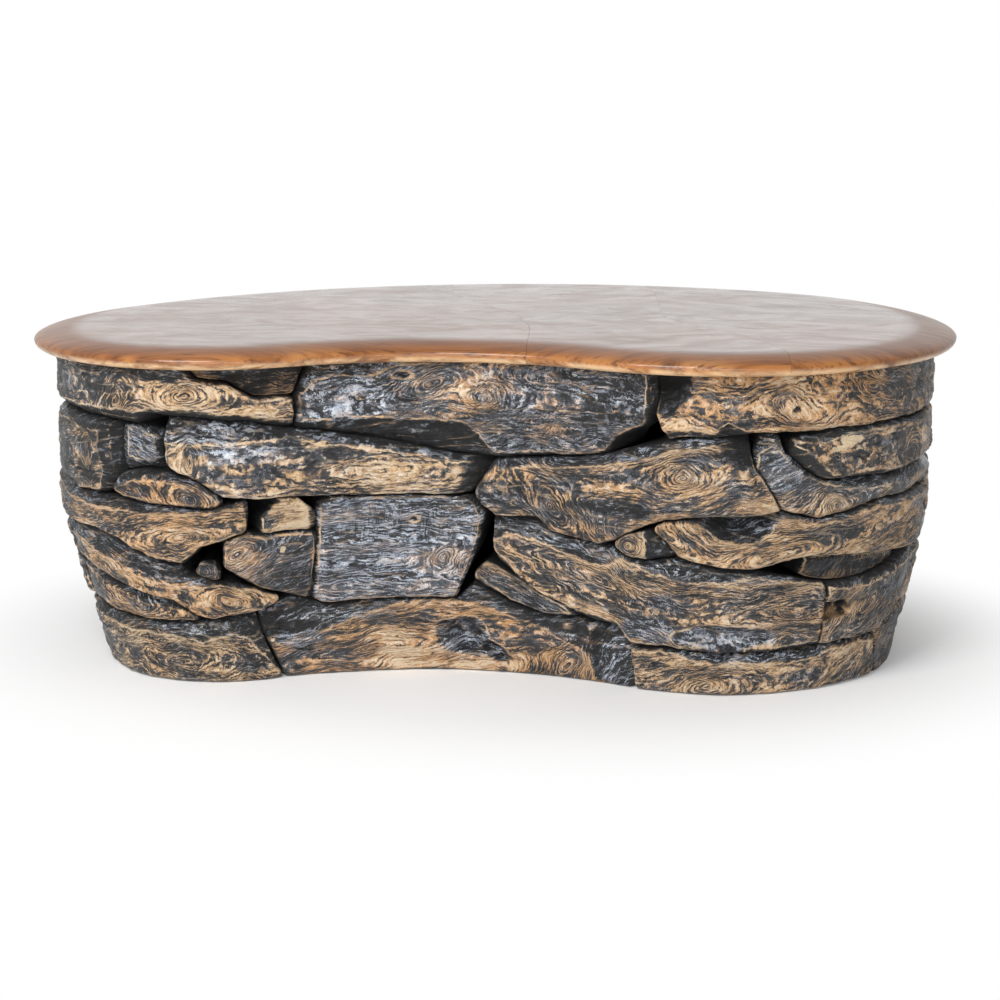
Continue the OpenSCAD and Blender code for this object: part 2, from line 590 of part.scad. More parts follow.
module rear_middle_block_1() color(CHAR_GOLD) block(
    top = [[1670, 250], [1700, 250], [1755, 246], [1765, 278], [1850, 268], [2010, 262], [2110, 257]],
    bottom = [[1670, 169], [1700, 168], [1880, 175], [2110, 160]],
    shoulders = [9, 9]);
module rear_middle_block_2() color(CHAR) block(
    top = [[2110, 257], [2150, 255], [2330, 272], [2480, 262], [2560, 256]],
    bottom = [[2110, 160], [2300, 152], [2560, 172]],
    shoulders = [9, 9]);
module rear_middle_block_3() color(CHAR_BLUE) block(
    top = [[2560, 256], [2640, 250], [2760, 262], [2950, 280], [3010, 273]],
    bottom = [[2560, 172], [2760, 178], [3010, 158]],
    shoulders = [9, 9]);
module rear_middle_block_4() color(CHAR_BROWN) block(
    top = [[3010, 273], [3140, 258], [3300, 250], [3455, 262]],
    bottom = [[3010, 158], [3230, 172], [3350, 182], [3455, 200]],
    shoulders = [9, 9]);
module rear_lower_block_1() color(CHAR_BROWN) block(
    top = [[1700, 168], [1880, 175], [1990, 168]],
    bottom = [[1700, 90], [1790, 85], [1990, 78]],
    shoulders = [9, 9]);
module rear_lower_block_2() color(CHAR_GOLD) block(
    top = [[1990, 168], [2110, 160], [2300, 152], [2420, 161]],
    bottom = [[1990, 78], [2200, 92], [2420, 73]],
    shoulders = [9, 9]);
module rear_lower_block_3() color(CHAR) block(
    top = [[2420, 161], [2560, 172], [2760, 178], [2860, 170]],
    bottom = [[2420, 73], [2560, 80], [2740, 90], [2860, 82]],
    shoulders = [9, 9]);
module rear_lower_block_4() color(CHAR_BROWN) block(
    top = [[2860, 170], [3010, 158], [3180, 169]],
    bottom = [[2860, 82], [2930, 76], [3180, 86]],
    shoulders = [9, 9]);
module rear_lower_block_5() color(CHAR_BLUE) block(
    top = [[3180, 169], [3230, 172], [3350, 182], [3455, 200], [3490, 200]],
    bottom = [[3180, 86], [3300, 95], [3460, 92], [3490, 92]],
    shoulders = [9, 9]);
module rear_foot_block_1() color(CHAR_GOLD) block(
    top = [[1790, 85], [1990, 78], [2180, 91]],
    bottom = [[1790, 0], [2180, 0]],
    shoulders = [9, 3]);
module rear_foot_block_2() color(CHAR_BROWN) block(
    top = [[2180, 91], [2200, 92], [2420, 73], [2560, 80], [2600, 82]],
    bottom = [[2180, 0], [2600, 0]],
    shoulders = [9, 3]);
module rear_foot_block_3() color(CHAR) block(
    top = [[2600, 82], [2740, 90], [2860, 82], [2930, 76], [3030, 80]],
    bottom = [[2600, 0], [3030, 0]],
    shoulders = [9, 3]);
module rear_foot_block_4() color(CHAR_BROWN) block(
    top = [[3030, 80], [3180, 86], [3300, 95], [3460, 92]],
    bottom = [[3030, 0], [3460, 0]],
    shoulders = [9, 3]);

left_board();
centre_board();
right_board();
front_batten();
rear_batten();
batten_screws();
bed_dowels();
upper_left_block();
upper_left_filler();
upper_centre_block();
upper_right_block();
left_end_block();
end_grain_block();
long_arch_block();
oval_block();
swirl_block();
square_end_block();
right_shoulder_block();
fan_grain_block();
pointed_block();
left_wedge_block();
ring_knot_block();
weathered_block();
tan_wedge_block();
branch_stub();
lumpy_block();
dark_wedge_block();
round_branch_block();
dipped_block();
fibrous_block();
notched_block();
foot_left_block();
knot_hole_block();
foot_right_block();
foot_corner_block();
rear_top_block_1();
rear_top_block_2();
rear_top_block_3();
rear_top_block_4();
rear_upper_block_1();
rear_upper_block_2();
rear_upper_block_3();
rear_upper_block_4();
rear_upper_block_5();
rear_middle_block_1();
rear_middle_block_2();
rear_middle_block_3();
rear_middle_block_4();
rear_lower_block_1();
rear_lower_block_2();
rear_lower_block_3();
rear_lower_block_4();
rear_lower_block_5();
rear_foot_block_1();
rear_foot_block_2();
rear_foot_block_3();
rear_foot_block_4();
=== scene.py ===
"""Looks of the kidney-shaped coffee table: charred, brushed blocks under an oiled top."""
import json
import math

import bmesh
import bpy
import numpy as np
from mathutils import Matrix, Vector


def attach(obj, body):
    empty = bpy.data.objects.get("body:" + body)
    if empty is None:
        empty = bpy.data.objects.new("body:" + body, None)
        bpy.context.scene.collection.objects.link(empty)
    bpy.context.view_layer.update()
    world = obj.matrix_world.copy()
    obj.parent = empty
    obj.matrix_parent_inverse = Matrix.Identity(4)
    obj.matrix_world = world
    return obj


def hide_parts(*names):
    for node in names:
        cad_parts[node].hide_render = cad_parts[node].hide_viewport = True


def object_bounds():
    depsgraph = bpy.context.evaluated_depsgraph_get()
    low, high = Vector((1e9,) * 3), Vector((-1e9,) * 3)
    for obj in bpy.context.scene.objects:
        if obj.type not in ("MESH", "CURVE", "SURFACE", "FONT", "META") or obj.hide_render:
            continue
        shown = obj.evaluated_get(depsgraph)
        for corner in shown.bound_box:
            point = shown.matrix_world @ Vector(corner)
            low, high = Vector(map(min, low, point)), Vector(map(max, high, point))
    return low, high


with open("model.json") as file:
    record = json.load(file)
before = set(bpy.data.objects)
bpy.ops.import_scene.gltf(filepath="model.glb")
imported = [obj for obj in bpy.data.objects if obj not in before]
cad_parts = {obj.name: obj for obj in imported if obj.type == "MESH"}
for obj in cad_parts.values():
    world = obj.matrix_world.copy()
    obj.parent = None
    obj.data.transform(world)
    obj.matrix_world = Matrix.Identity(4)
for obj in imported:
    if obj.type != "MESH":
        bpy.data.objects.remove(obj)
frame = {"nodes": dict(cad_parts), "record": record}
cad_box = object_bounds()

MM = 0.001

# Outline of the top, as six tangent arcs: radius in mm and turn in degrees, from the left tip's back.
# The radii left open follow from the outline closing on itself.
ARCS = ((264, 70), (238, 88), (None, -62), (313, 102), (357, 82), (None, 80))
START_HEADING = -130.5
ARC_SLACK = 0.02    # radians past an arc's ends that still count as on it
ARC_WRAP = 0.15     # radians before an arc's start that aren't taken for a full turn
OUTLINE_STEPS = 2000

# Heights of the top, of its slab and of the base, in mm
TOP_Z = 450
SLAB = 27
BASE_TOP = TOP_Z - SLAB

# The base stands back from the rim, and draws in towards the floor below the height TAPER_H
OVERHANG = 27
FOOT_LEFT = 63
FOOT_RIGHT = 48
TAPER_H = 230
TAPER_CURVE = 1.2

# Length of the unrolled wall on which the blocks are drawn
DRAWN_L = 3230

# More than any distance that matters within a block, in mm
FAR_OFF = 60.0

# Camera, found from the photograph's outlines
CAMERA_AT = (0.0044, -3.6054, 0.9496)
CAMERA_DOWN = 11.83
CAMERA_LENS = 96.77


class Outline:
    """The rim of the top as arcs, with places along it in mm."""

    def __init__(self):
        heading = math.radians(START_HEADING)
        starts = []
        for _, turn in ARCS:
            starts.append(heading)
            heading += math.radians(turn)
        known = np.zeros(2)
        free = []
        for (radius, turn), start in zip(ARCS, starts):
            step = self.travel(start, math.radians(turn))
            if radius is None:
                free.append(step)
            else:
                known += radius * step
        solved = list(np.linalg.solve(np.array(free).T, -known))
        self.arcs = []
        point = np.zeros(2)
        run = 0.0
        for (radius, turn), start in zip(ARCS, starts):
            r = solved.pop(0) if radius is None else radius
            bend = math.copysign(1, turn)
            normal = np.array([math.sin(start), -math.cos(start)])
            self.arcs.append((run, point - normal * r * bend, start, bend, r, abs(math.radians(turn))))
            point = point + r * self.travel(start, math.radians(turn))
            run += r * abs(math.radians(turn))
        self.length = run
        s = np.linspace(0, run, OUTLINE_STEPS)
        self.shift = np.zeros(2)
        points, _ = self.at(s)
        low, high = points.min(axis=0), points.max(axis=0)
        self.shift = (low + high) / 2
        self.left = (low - self.shift)[0]
        self.width = (high - low)[0]

    @staticmethod
    def travel(start, turn):
        """Where an arc of radius 1 ends, seen from its start."""
        end = start + turn
        step = np.array([math.sin(end) - math.sin(start), math.cos(start) - math.cos(end)])
        return math.copysign(1, turn) * step

    def at(self, s):
        """Points and outward normals at the lengths s."""
        s = np.mod(s, self.length)
        points = np.zeros((len(s), 2))
        normals = np.zeros((len(s), 2))
        for run, centre, start, bend, r, sweep in self.arcs:
            on = (s >= run) & (s <= run + r * sweep + 1e-9)
            a = start + bend * (s[on] - run) / r
            n = np.stack([np.sin(a), -np.cos(a)], axis=1)
            points[on] = centre + n * r * bend
            normals[on] = n
        return points - self.shift, normals

    def nearest(self, xy):
        """Length along the rim and inset from it, for points in mm."""
        xy = xy + self.shift
        best = np.full(len(xy), 1e9)
        s_out = np.zeros(len(xy))
        for run, centre, start, bend, r, sweep in self.arcs:
            d = xy - centre
            dist = np.hypot(d[:, 0], d[:, 1])
            n = d / np.maximum(dist, 1e-6)[:, None] * bend
            a = np.arctan2(n[:, 0], -n[:, 1])
            along = np.mod(bend * (a - start) + ARC_WRAP, 2 * math.pi) - ARC_WRAP
            inside = (along > -ARC_SLACK) & (along < sweep + ARC_SLACK)
            inset = bend * (r - dist)
            better = inside & (np.abs(inset) < np.abs(best))
            best[better] = inset[better]
            s_out[better] = run + r * np.clip(along[better], 0, sweep)
        return s_out, best


NOISE_SIZE = 512    # count of slopes in a noise's table, a power of two
NOISE_GAIN = 1.6


class Noise:
    """Smooth seeded noise over points, from about -1 to 1. Points moved by a number give another field."""

    def __init__(self, seed):
        rng = np.random.default_rng(seed)
        self.order = rng.permutation(NOISE_SIZE)
        slopes = rng.normal(size=(NOISE_SIZE, 3))
        self.slopes = slopes / np.linalg.norm(slopes, axis=1)[:, None]

    def __call__(self, points, size):
        """Noise at the points, with features about as large as size: one number, or one for each axis."""
        q = points / np.asarray(size, float)
        cell = np.floor(q).astype(int)
        f = q - cell
        fade = f * f * f * (f * (6 * f - 15) + 10)
        total = np.zeros(len(points))
        for corner in np.ndindex(2, 2, 2):
            c = np.array(corner)
            at = cell + c
            pick = self.order[at[:, 0] & (NOISE_SIZE - 1)]
            pick = self.order[(pick + at[:, 1]) & (NOISE_SIZE - 1)]
            pick = self.order[(pick + at[:, 2]) & (NOISE_SIZE - 1)]
            weight = np.prod(np.where(c == 1, fade, 1 - fade), axis=1)
            total += weight * np.sum(self.slopes[pick] * (f - c), axis=1)
        return NOISE_GAIN * total


def smooth(low, high, x):
    """0 at low, 1 at high and smooth between, whichever of the two is the lower."""
    t = np.clip((x - low) / (high - low), 0, 1)
    return t * t * (3 - 2 * t)


class Look:
    """How one block of the base is grown, cut and worn. Places are (u, z) on its wall, in mm."""

    def __init__(self, rings=(), tilt=0, pitch=3.4, wander=9, gold=0.5, warm=0.5, blue=0.2,
                 top_line=(), top_fall=0.6, bottom_line=(), bottom_fall=0.8,
                 left_cut=(0, 0), right_cut=(0, 0), hollows=(), patches=(), rough=1.0, rounding=2.6,
                 curl=0.0):
        self.rings = rings          # (u, z, stretch, tilt) of each place that growth rings run round
        self.tilt = tilt            # of the straight grain, in degrees
        self.pitch = pitch          # between two rings
        self.wander = wander        # of the grain
        self.gold = gold            # how much of the char is brushed off
        self.warm = warm            # from straw yellow to orange
        # blue: how much painted bluish sheen the char gets; it also sets the coat's gloss
        self.blue = blue            # how much of the char has a bluish sheen
        self.top_line = top_line    # crease between the face and the slope above it
        self.top_fall = top_fall    # of that slope, as depth over height
        self.bottom_line = bottom_line
        self.bottom_fall = bottom_fall
        self.left_cut = left_cut    # (reach, depth) of the slope along that end
        self.right_cut = right_cut
        self.hollows = hollows      # (u, z, half length, half height, tilt, depth)
        # (finish, u, z, half length, half height, amount), the finish being gold, char (in places painted
        # shade), blue for painted bluish sheen, bare, comb for fine marks square to the grain, or lit for a
        # hollow that gets no painted shade
        self.patches = patches
        self.rough = rough          # how lumpy the face is
        self.rounding = rounding    # of the edges
        self.curl = curl            # height of the fine curl across the grain


FRONT_LOOKS = {
    "upper_left_block": Look(
        rings=((545, 386, 2.6, -2), (436, 380, 2.0, 50)), gold=0.61, warm=0.3, blue=0.15, pitch=3.6,
        bottom_line=((300, 364), (440, 367), (470, 364), (500, 368), (560, 367), (650, 361), (712, 352)),
        right_cut=(7, 10),
        # The char patch along the top, at u 480, is painted shadow under the top's edge
        patches=(("char", 320, 385, 110, 50, 0.3), ("gold", 590, 382, 110, 20, 0.15),
                 ("char", 480, 414, 120, 10, 0.4), ("gold", 684, 368, 26, 18, 0.1))),
    "upper_left_filler": Look(tilt=-3, gold=0.36, warm=0.9, blue=0, wander=4, rough=0.4),
    "upper_centre_block": Look(
        rings=((935, 378, 1.6, 0), (872, 390, 2.4, 20)), pitch=3.0, wander=14,
        gold=0.42, warm=0.9, blue=0.42, curl=1.5, top_fall=0.4, bottom_fall=1.0, right_cut=(12, 9),
        top_line=((712, 384), (735, 403), (800, 407), (830, 416), (900, 424), (1160, 430)),
        bottom_line=((712, 352), (760, 354), (830, 349), (905, 347), (925, 332), (935, 314), (945, 305),
                     (1100, 316), (1160, 372)),
        hollows=((835, 404, 12, 4, 0, 7),),
        patches=(("blue", 770, 372, 55, 34, 0.6), ("char", 770, 360, 50, 20, 0.15),
                 ("gold", 905, 386, 85, 34, 0.18), ("char", 1130, 390, 50, 40, 0.25))),
    "upper_right_block": Look(
        rings=((1360, 378, 1.6, 0), (1490, 396, 3.2, -18)), pitch=4.2, wander=24, gold=0.68, warm=0.85,
        blue=0.1, bottom_fall=0.8,
        bottom_line=((1160, 350), (1245, 352), (1262, 364), (1290, 353), (1330, 350), (1700, 354)),
        hollows=((1360, 378, 8, 5, 0, 7),),
        patches=(("char", 1610, 385, 110, 60, 0.3), ("char", 1268, 358, 26, 7, 0.5),
                 ("char", 1172, 405, 36, 32, 1.0))),
    "left_end_block": Look(
        rings=((372, 306, 0.35, 8),), gold=0.4, warm=0.5, blue=0.1, rounding=7, pitch=3.2,
        top_line=((250, 338), (425, 334)), right_cut=(26, 10), patches=(("gold", 330, 320, 24, 36, 0.15),)),
    "end_grain_block": Look(
        tilt=-20, gold=0.26, warm=0.3, blue=0.9, wander=4, rough=0.3, rounding=8, pitch=2.6,
        left_cut=(22, 9), bottom_line=((425, 305), (500, 300))),
    "long_arch_block": Look(
        rings=((806, 282, 4.6, 0), (556, 306, 0.5, 0)), pitch=5.4, wander=8, gold=0.58,
        warm=0.2, blue=0.25, top_fall=0.55,
        top_line=((515, 336), (560, 329), (600, 327), (680, 324), (700, 326), (760, 319), (800, 307),
                  (850, 302), (887, 292), (945, 286)),
        patches=(("blue", 625, 314, 60, 15, 0.9), ("char", 625, 316, 60, 10, 0.25),
                 ("gold", 845, 276, 80, 22, 0.15), ("gold", 910, 268, 26, 22, 0.25))),
    "oval_block": Look(
        rings=((548, 256, 1.4, -20),), tilt=-12, gold=0.5, warm=0.95, blue=0.05, rounding=7, pitch=3.0,
        top_line=((425, 262), (470, 278), (505, 274), (560, 270), (600, 252)),
        patches=(("char", 455, 262, 30, 14, 0.3), ("gold", 585, 250, 22, 14, 0.2))),
    "swirl_block": Look(
        rings=((1018, 240, 2.2, -50), (1196, 292, 1.7, 8)), pitch=3.2, wander=13,
        gold=0.56, warm=0.6, blue=0.2, top_fall=0.5,
        top_line=((915, 256), (945, 287), (1000, 290), (1050, 295), (1100, 303), (1180, 325), (1250, 331),
                  (1300, 338)),
        patches=(("char", 1100, 248, 70, 12, 0.35), ("gold", 1195, 285, 65, 26, 0.15),
                 ("char", 950, 250, 40, 20, 0.2), ("gold", 1300, 258, 40, 12, 0.25))),
    "square_end_block": Look(
        rings=((1430, 250, 1.6, 15),), gold=0.5, warm=0.4, blue=0.4, pitch=3.0, left_cut=(5, 5),
        top_line=((1300, 318), (1328, 334), (1345, 318), (1372, 292), (1400, 279), (1440, 272), (1500, 268),
                  (1760, 264)), top_fall=0.7,
        patches=(("blue", 1340, 300, 34, 28, 0.5), ("gold", 1425, 252, 60, 16, 0.2),
                 ("char", 1320, 342, 26, 10, 0.4))),
    "right_shoulder_block": Look(
        rings=((1595, 300, 1.1, 0), (1660, 330, 0.8, 0)), gold=0.48, warm=0.5, blue=0.1, bottom_fall=0.6,
        top_line=((1350, 339), (1400, 337), (1440, 340), (1720, 346)),
        bottom_line=((1350, 334), (1372, 322), (1402, 299), (1420, 291), (1720, 289)),
        patches=(("bare", 1446, 334, 24, 9, 0.9), ("bare", 1424, 325, 20, 6, 0.8),
                 ("char", 1400, 342, 60, 8, 0.35))),
    "fan_grain_block": Look(
        rings=((540, 204, 3.4, 6), (500, 150, 0.6, 0)), pitch=3.4, gold=0.62,
        warm=0.7, blue=0.1, top_fall=0.8, bottom_fall=0.9, right_cut=(5, 4),
        top_line=((225, 252), (310, 242), (345, 238), (385, 236), (450, 237), (520, 234), (600, 240),
                  (640, 246)),
        bottom_line=((225, 207), (425, 199), (470, 180), (535, 172), (565, 192), (640, 214))),
    "pointed_block": Look(
        rings=((610, 119, 2.0, -8), (385, 146, 2.4, -14)), tilt=-10, gold=0.6, warm=0.8, blue=0.1,
        top_line=((300, 180), (400, 162), (470, 144), (545, 131), (600, 138), (640, 133), (706, 119)),
        top_fall=0.5, patches=(("gold", 560, 120, 80, 12, 0.15), ("gold", 680, 117, 24, 8, 0.2))),
    "left_wedge_block": Look(
        rings=((434, 113, 3, -8),), gold=0.5, warm=0.8, blue=0.1,
        top_line=((260, 138), (390, 124), (480, 107), (550, 90))),
    "ring_knot_block": Look(
        rings=((622, 182, 2.6, 18),), pitch=3.0, wander=5, gold=0.42, warm=0.9,
        blue=0.4, patches=(("gold", 630, 185, 30, 30, 0.2), ("bare", 690, 184, 4, 5, 0.9),
                           ("char", 700, 140, 40, 16, 0.25), ("gold", 733, 180, 6, 30, 0.2)), rounding=5),
    "weathered_block": Look(
        rings=((884, 160, 1.4, 40), (795, 189, 6, 0), (790, 124, 9, 0)), pitch=3.6, wander=8, gold=0.33,
        warm=0.8, blue=1.0, hollows=((847, 216, 6, 4, 0, 4),),
        patches=(("gold", 880, 155, 40, 28, 0.28), ("gold", 800, 120, 90, 14, 0.25),
                 ("gold", 800, 178, 60, 10, 0.25), ("char", 860, 235, 70, 10, 0.2),
                 ("comb", 805, 212, 34, 28, 1.0), ("comb", 872, 208, 20, 26, 1.0)), rounding=3),
    "tan_wedge_block": Look(tilt=12, gold=0.78, warm=0.3, blue=0.1, wander=12, rough=0.8, pitch=3.6,
                            right_cut=(16, 8), patches=(("char", 665, 222, 12, 16, 0.3),)),
    "branch_stub": Look(rings=((568, 155, 1, 0),), pitch=3, gold=0.5, warm=0.2, blue=0.3, rough=0.3),
    "lumpy_block": Look(
        rings=((1062, 148, 3.2, -22), (1364, 112, 7, 0)), tilt=-8, wander=15,
        gold=0.56, warm=0.4, blue=0.2, top_fall=0.55, bottom_fall=0.6,
        top_line=((940, 186), (960, 199), (1010, 186), (1050, 168), (1080, 167), (1110, 180), (1150, 171),
                  (1200, 158), (1300, 159), (1400, 150), (1430, 142)),
        bottom_line=((940, 182), (965, 150), (1000, 116), (1040, 101), (1090, 90), (1112, 66), (1430, 68)),
        patches=(("blue", 1262, 80, 80, 18, 1.2), ("char", 1262, 80, 78, 17, 0.1),
                 ("lit", 1262, 80, 90, 26, 1.0), ("char", 1150, 130, 40, 14, 0.2),
                 ("char", 1120, 90, 60, 20, 0.25), ("blue", 1140, 84, 50, 18, 0.6),
                 ("blue", 1330, 160, 60, 6, 0.7)),
        hollows=((1262, 80, 80, 17, 0, 4),)),
    "dark_wedge_block": Look(tilt=-26, gold=0.42, warm=0.4, blue=0.3, wander=4,
                             bottom_line=((915, 134), (955, 106), (990, 92), (1040, 88))),
    "round_branch_block": Look(rings=((1121, 198, 1, 0),), pitch=3, gold=0.5, warm=0.3, blue=0.25,
                               wander=3, right_cut=(44, 18), rounding=5),
    "dipped_block": Look(
        rings=((1330, 188, 5.0, 10), (1140, 240, 5.0, -28)), pitch=3.0, gold=0.6, warm=0.5, blue=0.1,
        top_fall=0.7,
        top_line=((1155, 228), (1180, 233), (1210, 231), (1232, 223), (1245, 215), (1262, 209), (1300, 208),
                  (1322, 219), (1342, 237), (1400, 228), (1445, 232), (1500, 242), (1670, 244)),
        patches=(("gold", 1300, 192, 110, 18, 0.15), ("char", 1430, 215, 60, 16, 0.2),
                 ("lit", 1277, 250, 62, 34, 0.45), ("blue", 1290, 236, 60, 16, 0.6))),
    "fibrous_block": Look(tilt=52, gold=0.34, warm=0.5, blue=0.1, pitch=2.4, wander=3),
    "notched_block": Look(
        rings=((1520, 112, 2.6, 36),), gold=0.54, warm=0.35, blue=0.15, pitch=3.4, wander=4,
        top_line=((1430, 140), (1510, 139), (1570, 145), (1700, 162)),
        patches=(("gold", 1450, 104, 26, 14, 0.2), ("lit", 1448, 104, 40, 24, 0.6),
                 ("char", 1600, 120, 50, 30, 0.15))),
    "foot_left_block": Look(
        rings=((514, 30, 5, 0),), gold=0.58, warm=0.15, blue=0.1, wander=17,
        top_fall=0.45,
        top_line=((230, 74), (330, 71), (400, 74), (500, 67), (560, 57), (575, 64), (612, 68), (650, 60),
                  (706, 4)), patches=(("char", 640, 30, 60, 16, 0.15),)),
    "knot_hole_block": Look(
        rings=((800, 34, 4.2, 10), (1014, 20, 1.9, 60)), wander=15, gold=0.6, warm=1.0,
        blue=0.15, pitch=3.4, top_fall=0.5,
        top_line=((650, 76), (700, 46), (716, 62), (745, 68), (800, 85), (850, 99), (880, 103), (905, 102),
                  (935, 92), (965, 79), (1010, 57), (1034, 46), (1045, 26), (1050, 0), (1105, 0)),
        patches=(("blue", 1078, 40, 30, 40, 0.9), ("blue", 720, 56, 24, 12, 1.0),
                 ("blue", 760, 86, 60, 10, 0.7), ("blue", 905, 48, 34, 32, 0.7),
                 ("char", 700, 30, 40, 30, 0.3), ("blue", 934, 30, 18, 10, 1.0),
                 ("lit", 908, 48, 44, 34, 0.8), ("gold", 880, 18, 90, 20, 0.3),
                 ("gold", 830, 40, 30, 30, 0.2)),
        hollows=((903, 50, 30, 30, 25, 6), (914, 28, 13, 9, 0, 8), (884, 66, 12, 10, 0, 6),
                 (936, 28, 24, 12, -38, 8))),
    "foot_right_block": Look(
        rings=((1236, 8, 2.6, 6), (1490, 10, 4.0, 28)), pitch=3.4, gold=0.6, warm=0.3,
        blue=0.15, top_fall=0.6,
        top_line=((1105, 54), (1180, 55), (1240, 46), (1300, 43), (1340, 42), (1430, 50), (1590, 50)),
        patches=(("blue", 1330, 54, 110, 10, 0.8), ("gold", 1180, 46, 26, 12, 0.25))),
    "foot_corner_block": Look(gold=0.34, warm=0.7, blue=0.2, tilt=30),
}


def unseen_look(name, low, high):
    """A look for a block that the photograph doesn't show, with rings somewhere inside its outline."""
    rng = np.random.default_rng(sum(ord(c) * (i + 3) for i, c in enumerate(name)))
    rings = tuple((rng.uniform(low[0] + 30, high[0] - 30), rng.uniform(low[1] + 15, high[1] - 15),
                   rng.uniform(1.0, 3.2), rng.uniform(-12, 12)) for _ in range(rng.integers(1, 3)))
    places = np.linspace(low[0], high[0], 7)
    top = high[1] - rng.uniform(8, 26)
    bottom = low[1] + rng.uniform(4, 12)
    return Look(rings=rings, tilt=rng.uniform(-6, 6), pitch=rng.uniform(3.0, 4.4), wander=rng.uniform(7, 14),
                gold=rng.uniform(0.48, 0.68), warm=rng.uniform(0.2, 0.8), blue=rng.uniform(0.05, 0.45),
                top_line=tuple((u, top + rng.uniform(-6, 6)) for u in places),
                bottom_line=tuple((u, bottom + rng.uniform(-3, 3)) for u in places),
                top_fall=rng.uniform(0.4, 0.8))


outline = Outline()
lumps = Noise(11)
ripples = Noise(23)
grain_noise = Noise(37)
patch_noise = Noise(41)

# Size of a block's faces where the photograph shows it and where it doesn't, and how close split corners
# lie, in metres
FRONT_VOXEL = 0.0023
REAR_VOXEL = 0.0034
WELD_REACH = 1e-6


def welded_copy(node, name):
    """A new object with the node's own mesh, its split corners joined."""
    bm = bmesh.new()
    bm.from_mesh(frame["nodes"][node].data)
    bmesh.ops.remove_doubles(bm, verts=bm.verts, dist=WELD_REACH)
    mesh = bpy.data.meshes.new(name)
    bm.to_mesh(mesh)
    bm.free()
    obj = bpy.data.objects.new(name, mesh)
    bpy.context.scene.collection.objects.link(obj)
    return obj


def even_mesh(obj, voxel):
    """Gives the object an even mesh of small faces."""
    even = obj.modifiers.new("even", "REMESH")
    even.mode = "VOXEL"
    even.voxel_size = voxel
    even.use_smooth_shade = True
    seen = obj.evaluated_get(bpy.context.evaluated_depsgraph_get())
    mesh = bpy.data.meshes.new_from_object(seen)
    obj.modifiers.clear()
    old = obj.data
    obj.data = mesh
    bpy.data.meshes.remove(old)
    return mesh


def on_points(mesh, kind):
    """The mesh's points, with kind "co", or its normals there, with kind "normal"."""
    values = np.empty(len(mesh.vertices) * 3)
    mesh.vertices.foreach_get(kind, values)
    return values.reshape(-1, 3)


def wall_places(points):
    """u along the wall, depth behind its surface, and the rim's normal there, for points in mm."""
    s, inset = outline.nearest(points[:, :2])
    rim, normal = outline.at(s)
    share = (rim[:, 0] - outline.left) / outline.width
    foot = FOOT_LEFT + (FOOT_RIGHT - FOOT_LEFT) * share
    drawn_in = foot * np.clip(1 - points[:, 2] / TAPER_H, 0, None) ** TAPER_CURVE
    u = s * DRAWN_L / outline.length
    # A block that lies across the start of the wall keeps its u in one run
    middle = np.arctan2(np.sin(u * 2 * np.pi / DRAWN_L).mean(), np.cos(u * 2 * np.pi / DRAWN_L).mean())
    centre = np.mod(middle * DRAWN_L / (2 * np.pi), DRAWN_L)
    u = np.mod(u - centre + DRAWN_L / 2, DRAWN_L) + centre - DRAWN_L / 2
    return u, inset - OVERHANG - drawn_in, normal


# A block's beds and ends are read between these depths behind its face, in stretches along the wall, in mm
SIDE_FROM = 17
SIDE_TO = 91
BED_STEP = 6.0
# A block that comes this close to the base's top or to the floor has no joint there
JOINTLESS = 3
# Percentage of a block's points that may lie before what is taken as the depth of its face
FACE_SHARE = 1


def bed_lines(u, z, depth):
    """The heights of a block's upper and lower bed at each point's u, and its two ends."""
    side = (depth > SIDE_FROM) & (depth < SIDE_TO)
    low, high = u[side].min(), u[side].max()
    count = max(int((high - low) / BED_STEP), 2)
    place = np.clip(((u - low) / (high - low) * count).astype(int), 0, count)
    top = np.full(count + 1, -np.inf)
    bottom = np.full(count + 1, np.inf)
    np.maximum.at(top, place[side], z[side])
    np.minimum.at(bottom, place[side], z[side])
    met = np.isfinite(top)
    middles = low + (np.arange(count + 1) + 0.5) / (count + 1) * (high - low)
    return np.interp(u, middles[met], top[met]), np.interp(u, middles[met], bottom[met]), low, high


class BlockWall:
    """Where each point of one block lies on the wall, and how far from the block's edges, in mm."""

    def __init__(self, points):
        self.u, self.depth, self.normal = wall_places(points)
        self.z = points[:, 2].copy()
        self.p = np.stack([self.u, self.z, self.depth], axis=1)
        self.face = np.percentile(self.depth, FACE_SHARE)
        top, bottom, left, right = bed_lines(self.u, self.z, self.depth)
        self.low = (left, bottom.min())
        self.high = (right, top.max())
        self.from_top = np.where(top > BASE_TOP - JOINTLESS, FAR_OFF, np.maximum(top - self.z, 0))
        self.from_bottom = np.where(bottom < JOINTLESS, FAR_OFF, np.maximum(self.z - bottom, 0))
        self.from_left = np.maximum(self.u - left, 0)
        self.from_right = np.maximum(right - self.u, 0)
        self.from_bed = np.minimum(self.from_top, self.from_bottom)
        self.from_edge = np.minimum(self.from_bed, np.minimum(self.from_left, self.from_right))


def turned(u, z, at_u, at_z, tilt):
    """Places along and across a direction at some degrees to the floor, from a point on the wall."""
    a = math.radians(tilt)
    return ((u - at_u) * math.cos(a) + (z - at_z) * math.sin(a),
            (z - at_z) * math.cos(a) - (u - at_u) * math.sin(a))


RING_REACH = 26     # distance along the grain, over the rings' stretch, at which they run out straight, in mm
RING_BLEND = 6.0    # width of the passage between the rings of two centres, in mm
CURL_LENGTH = 6.5   # of one wave of the fine curl, in mm


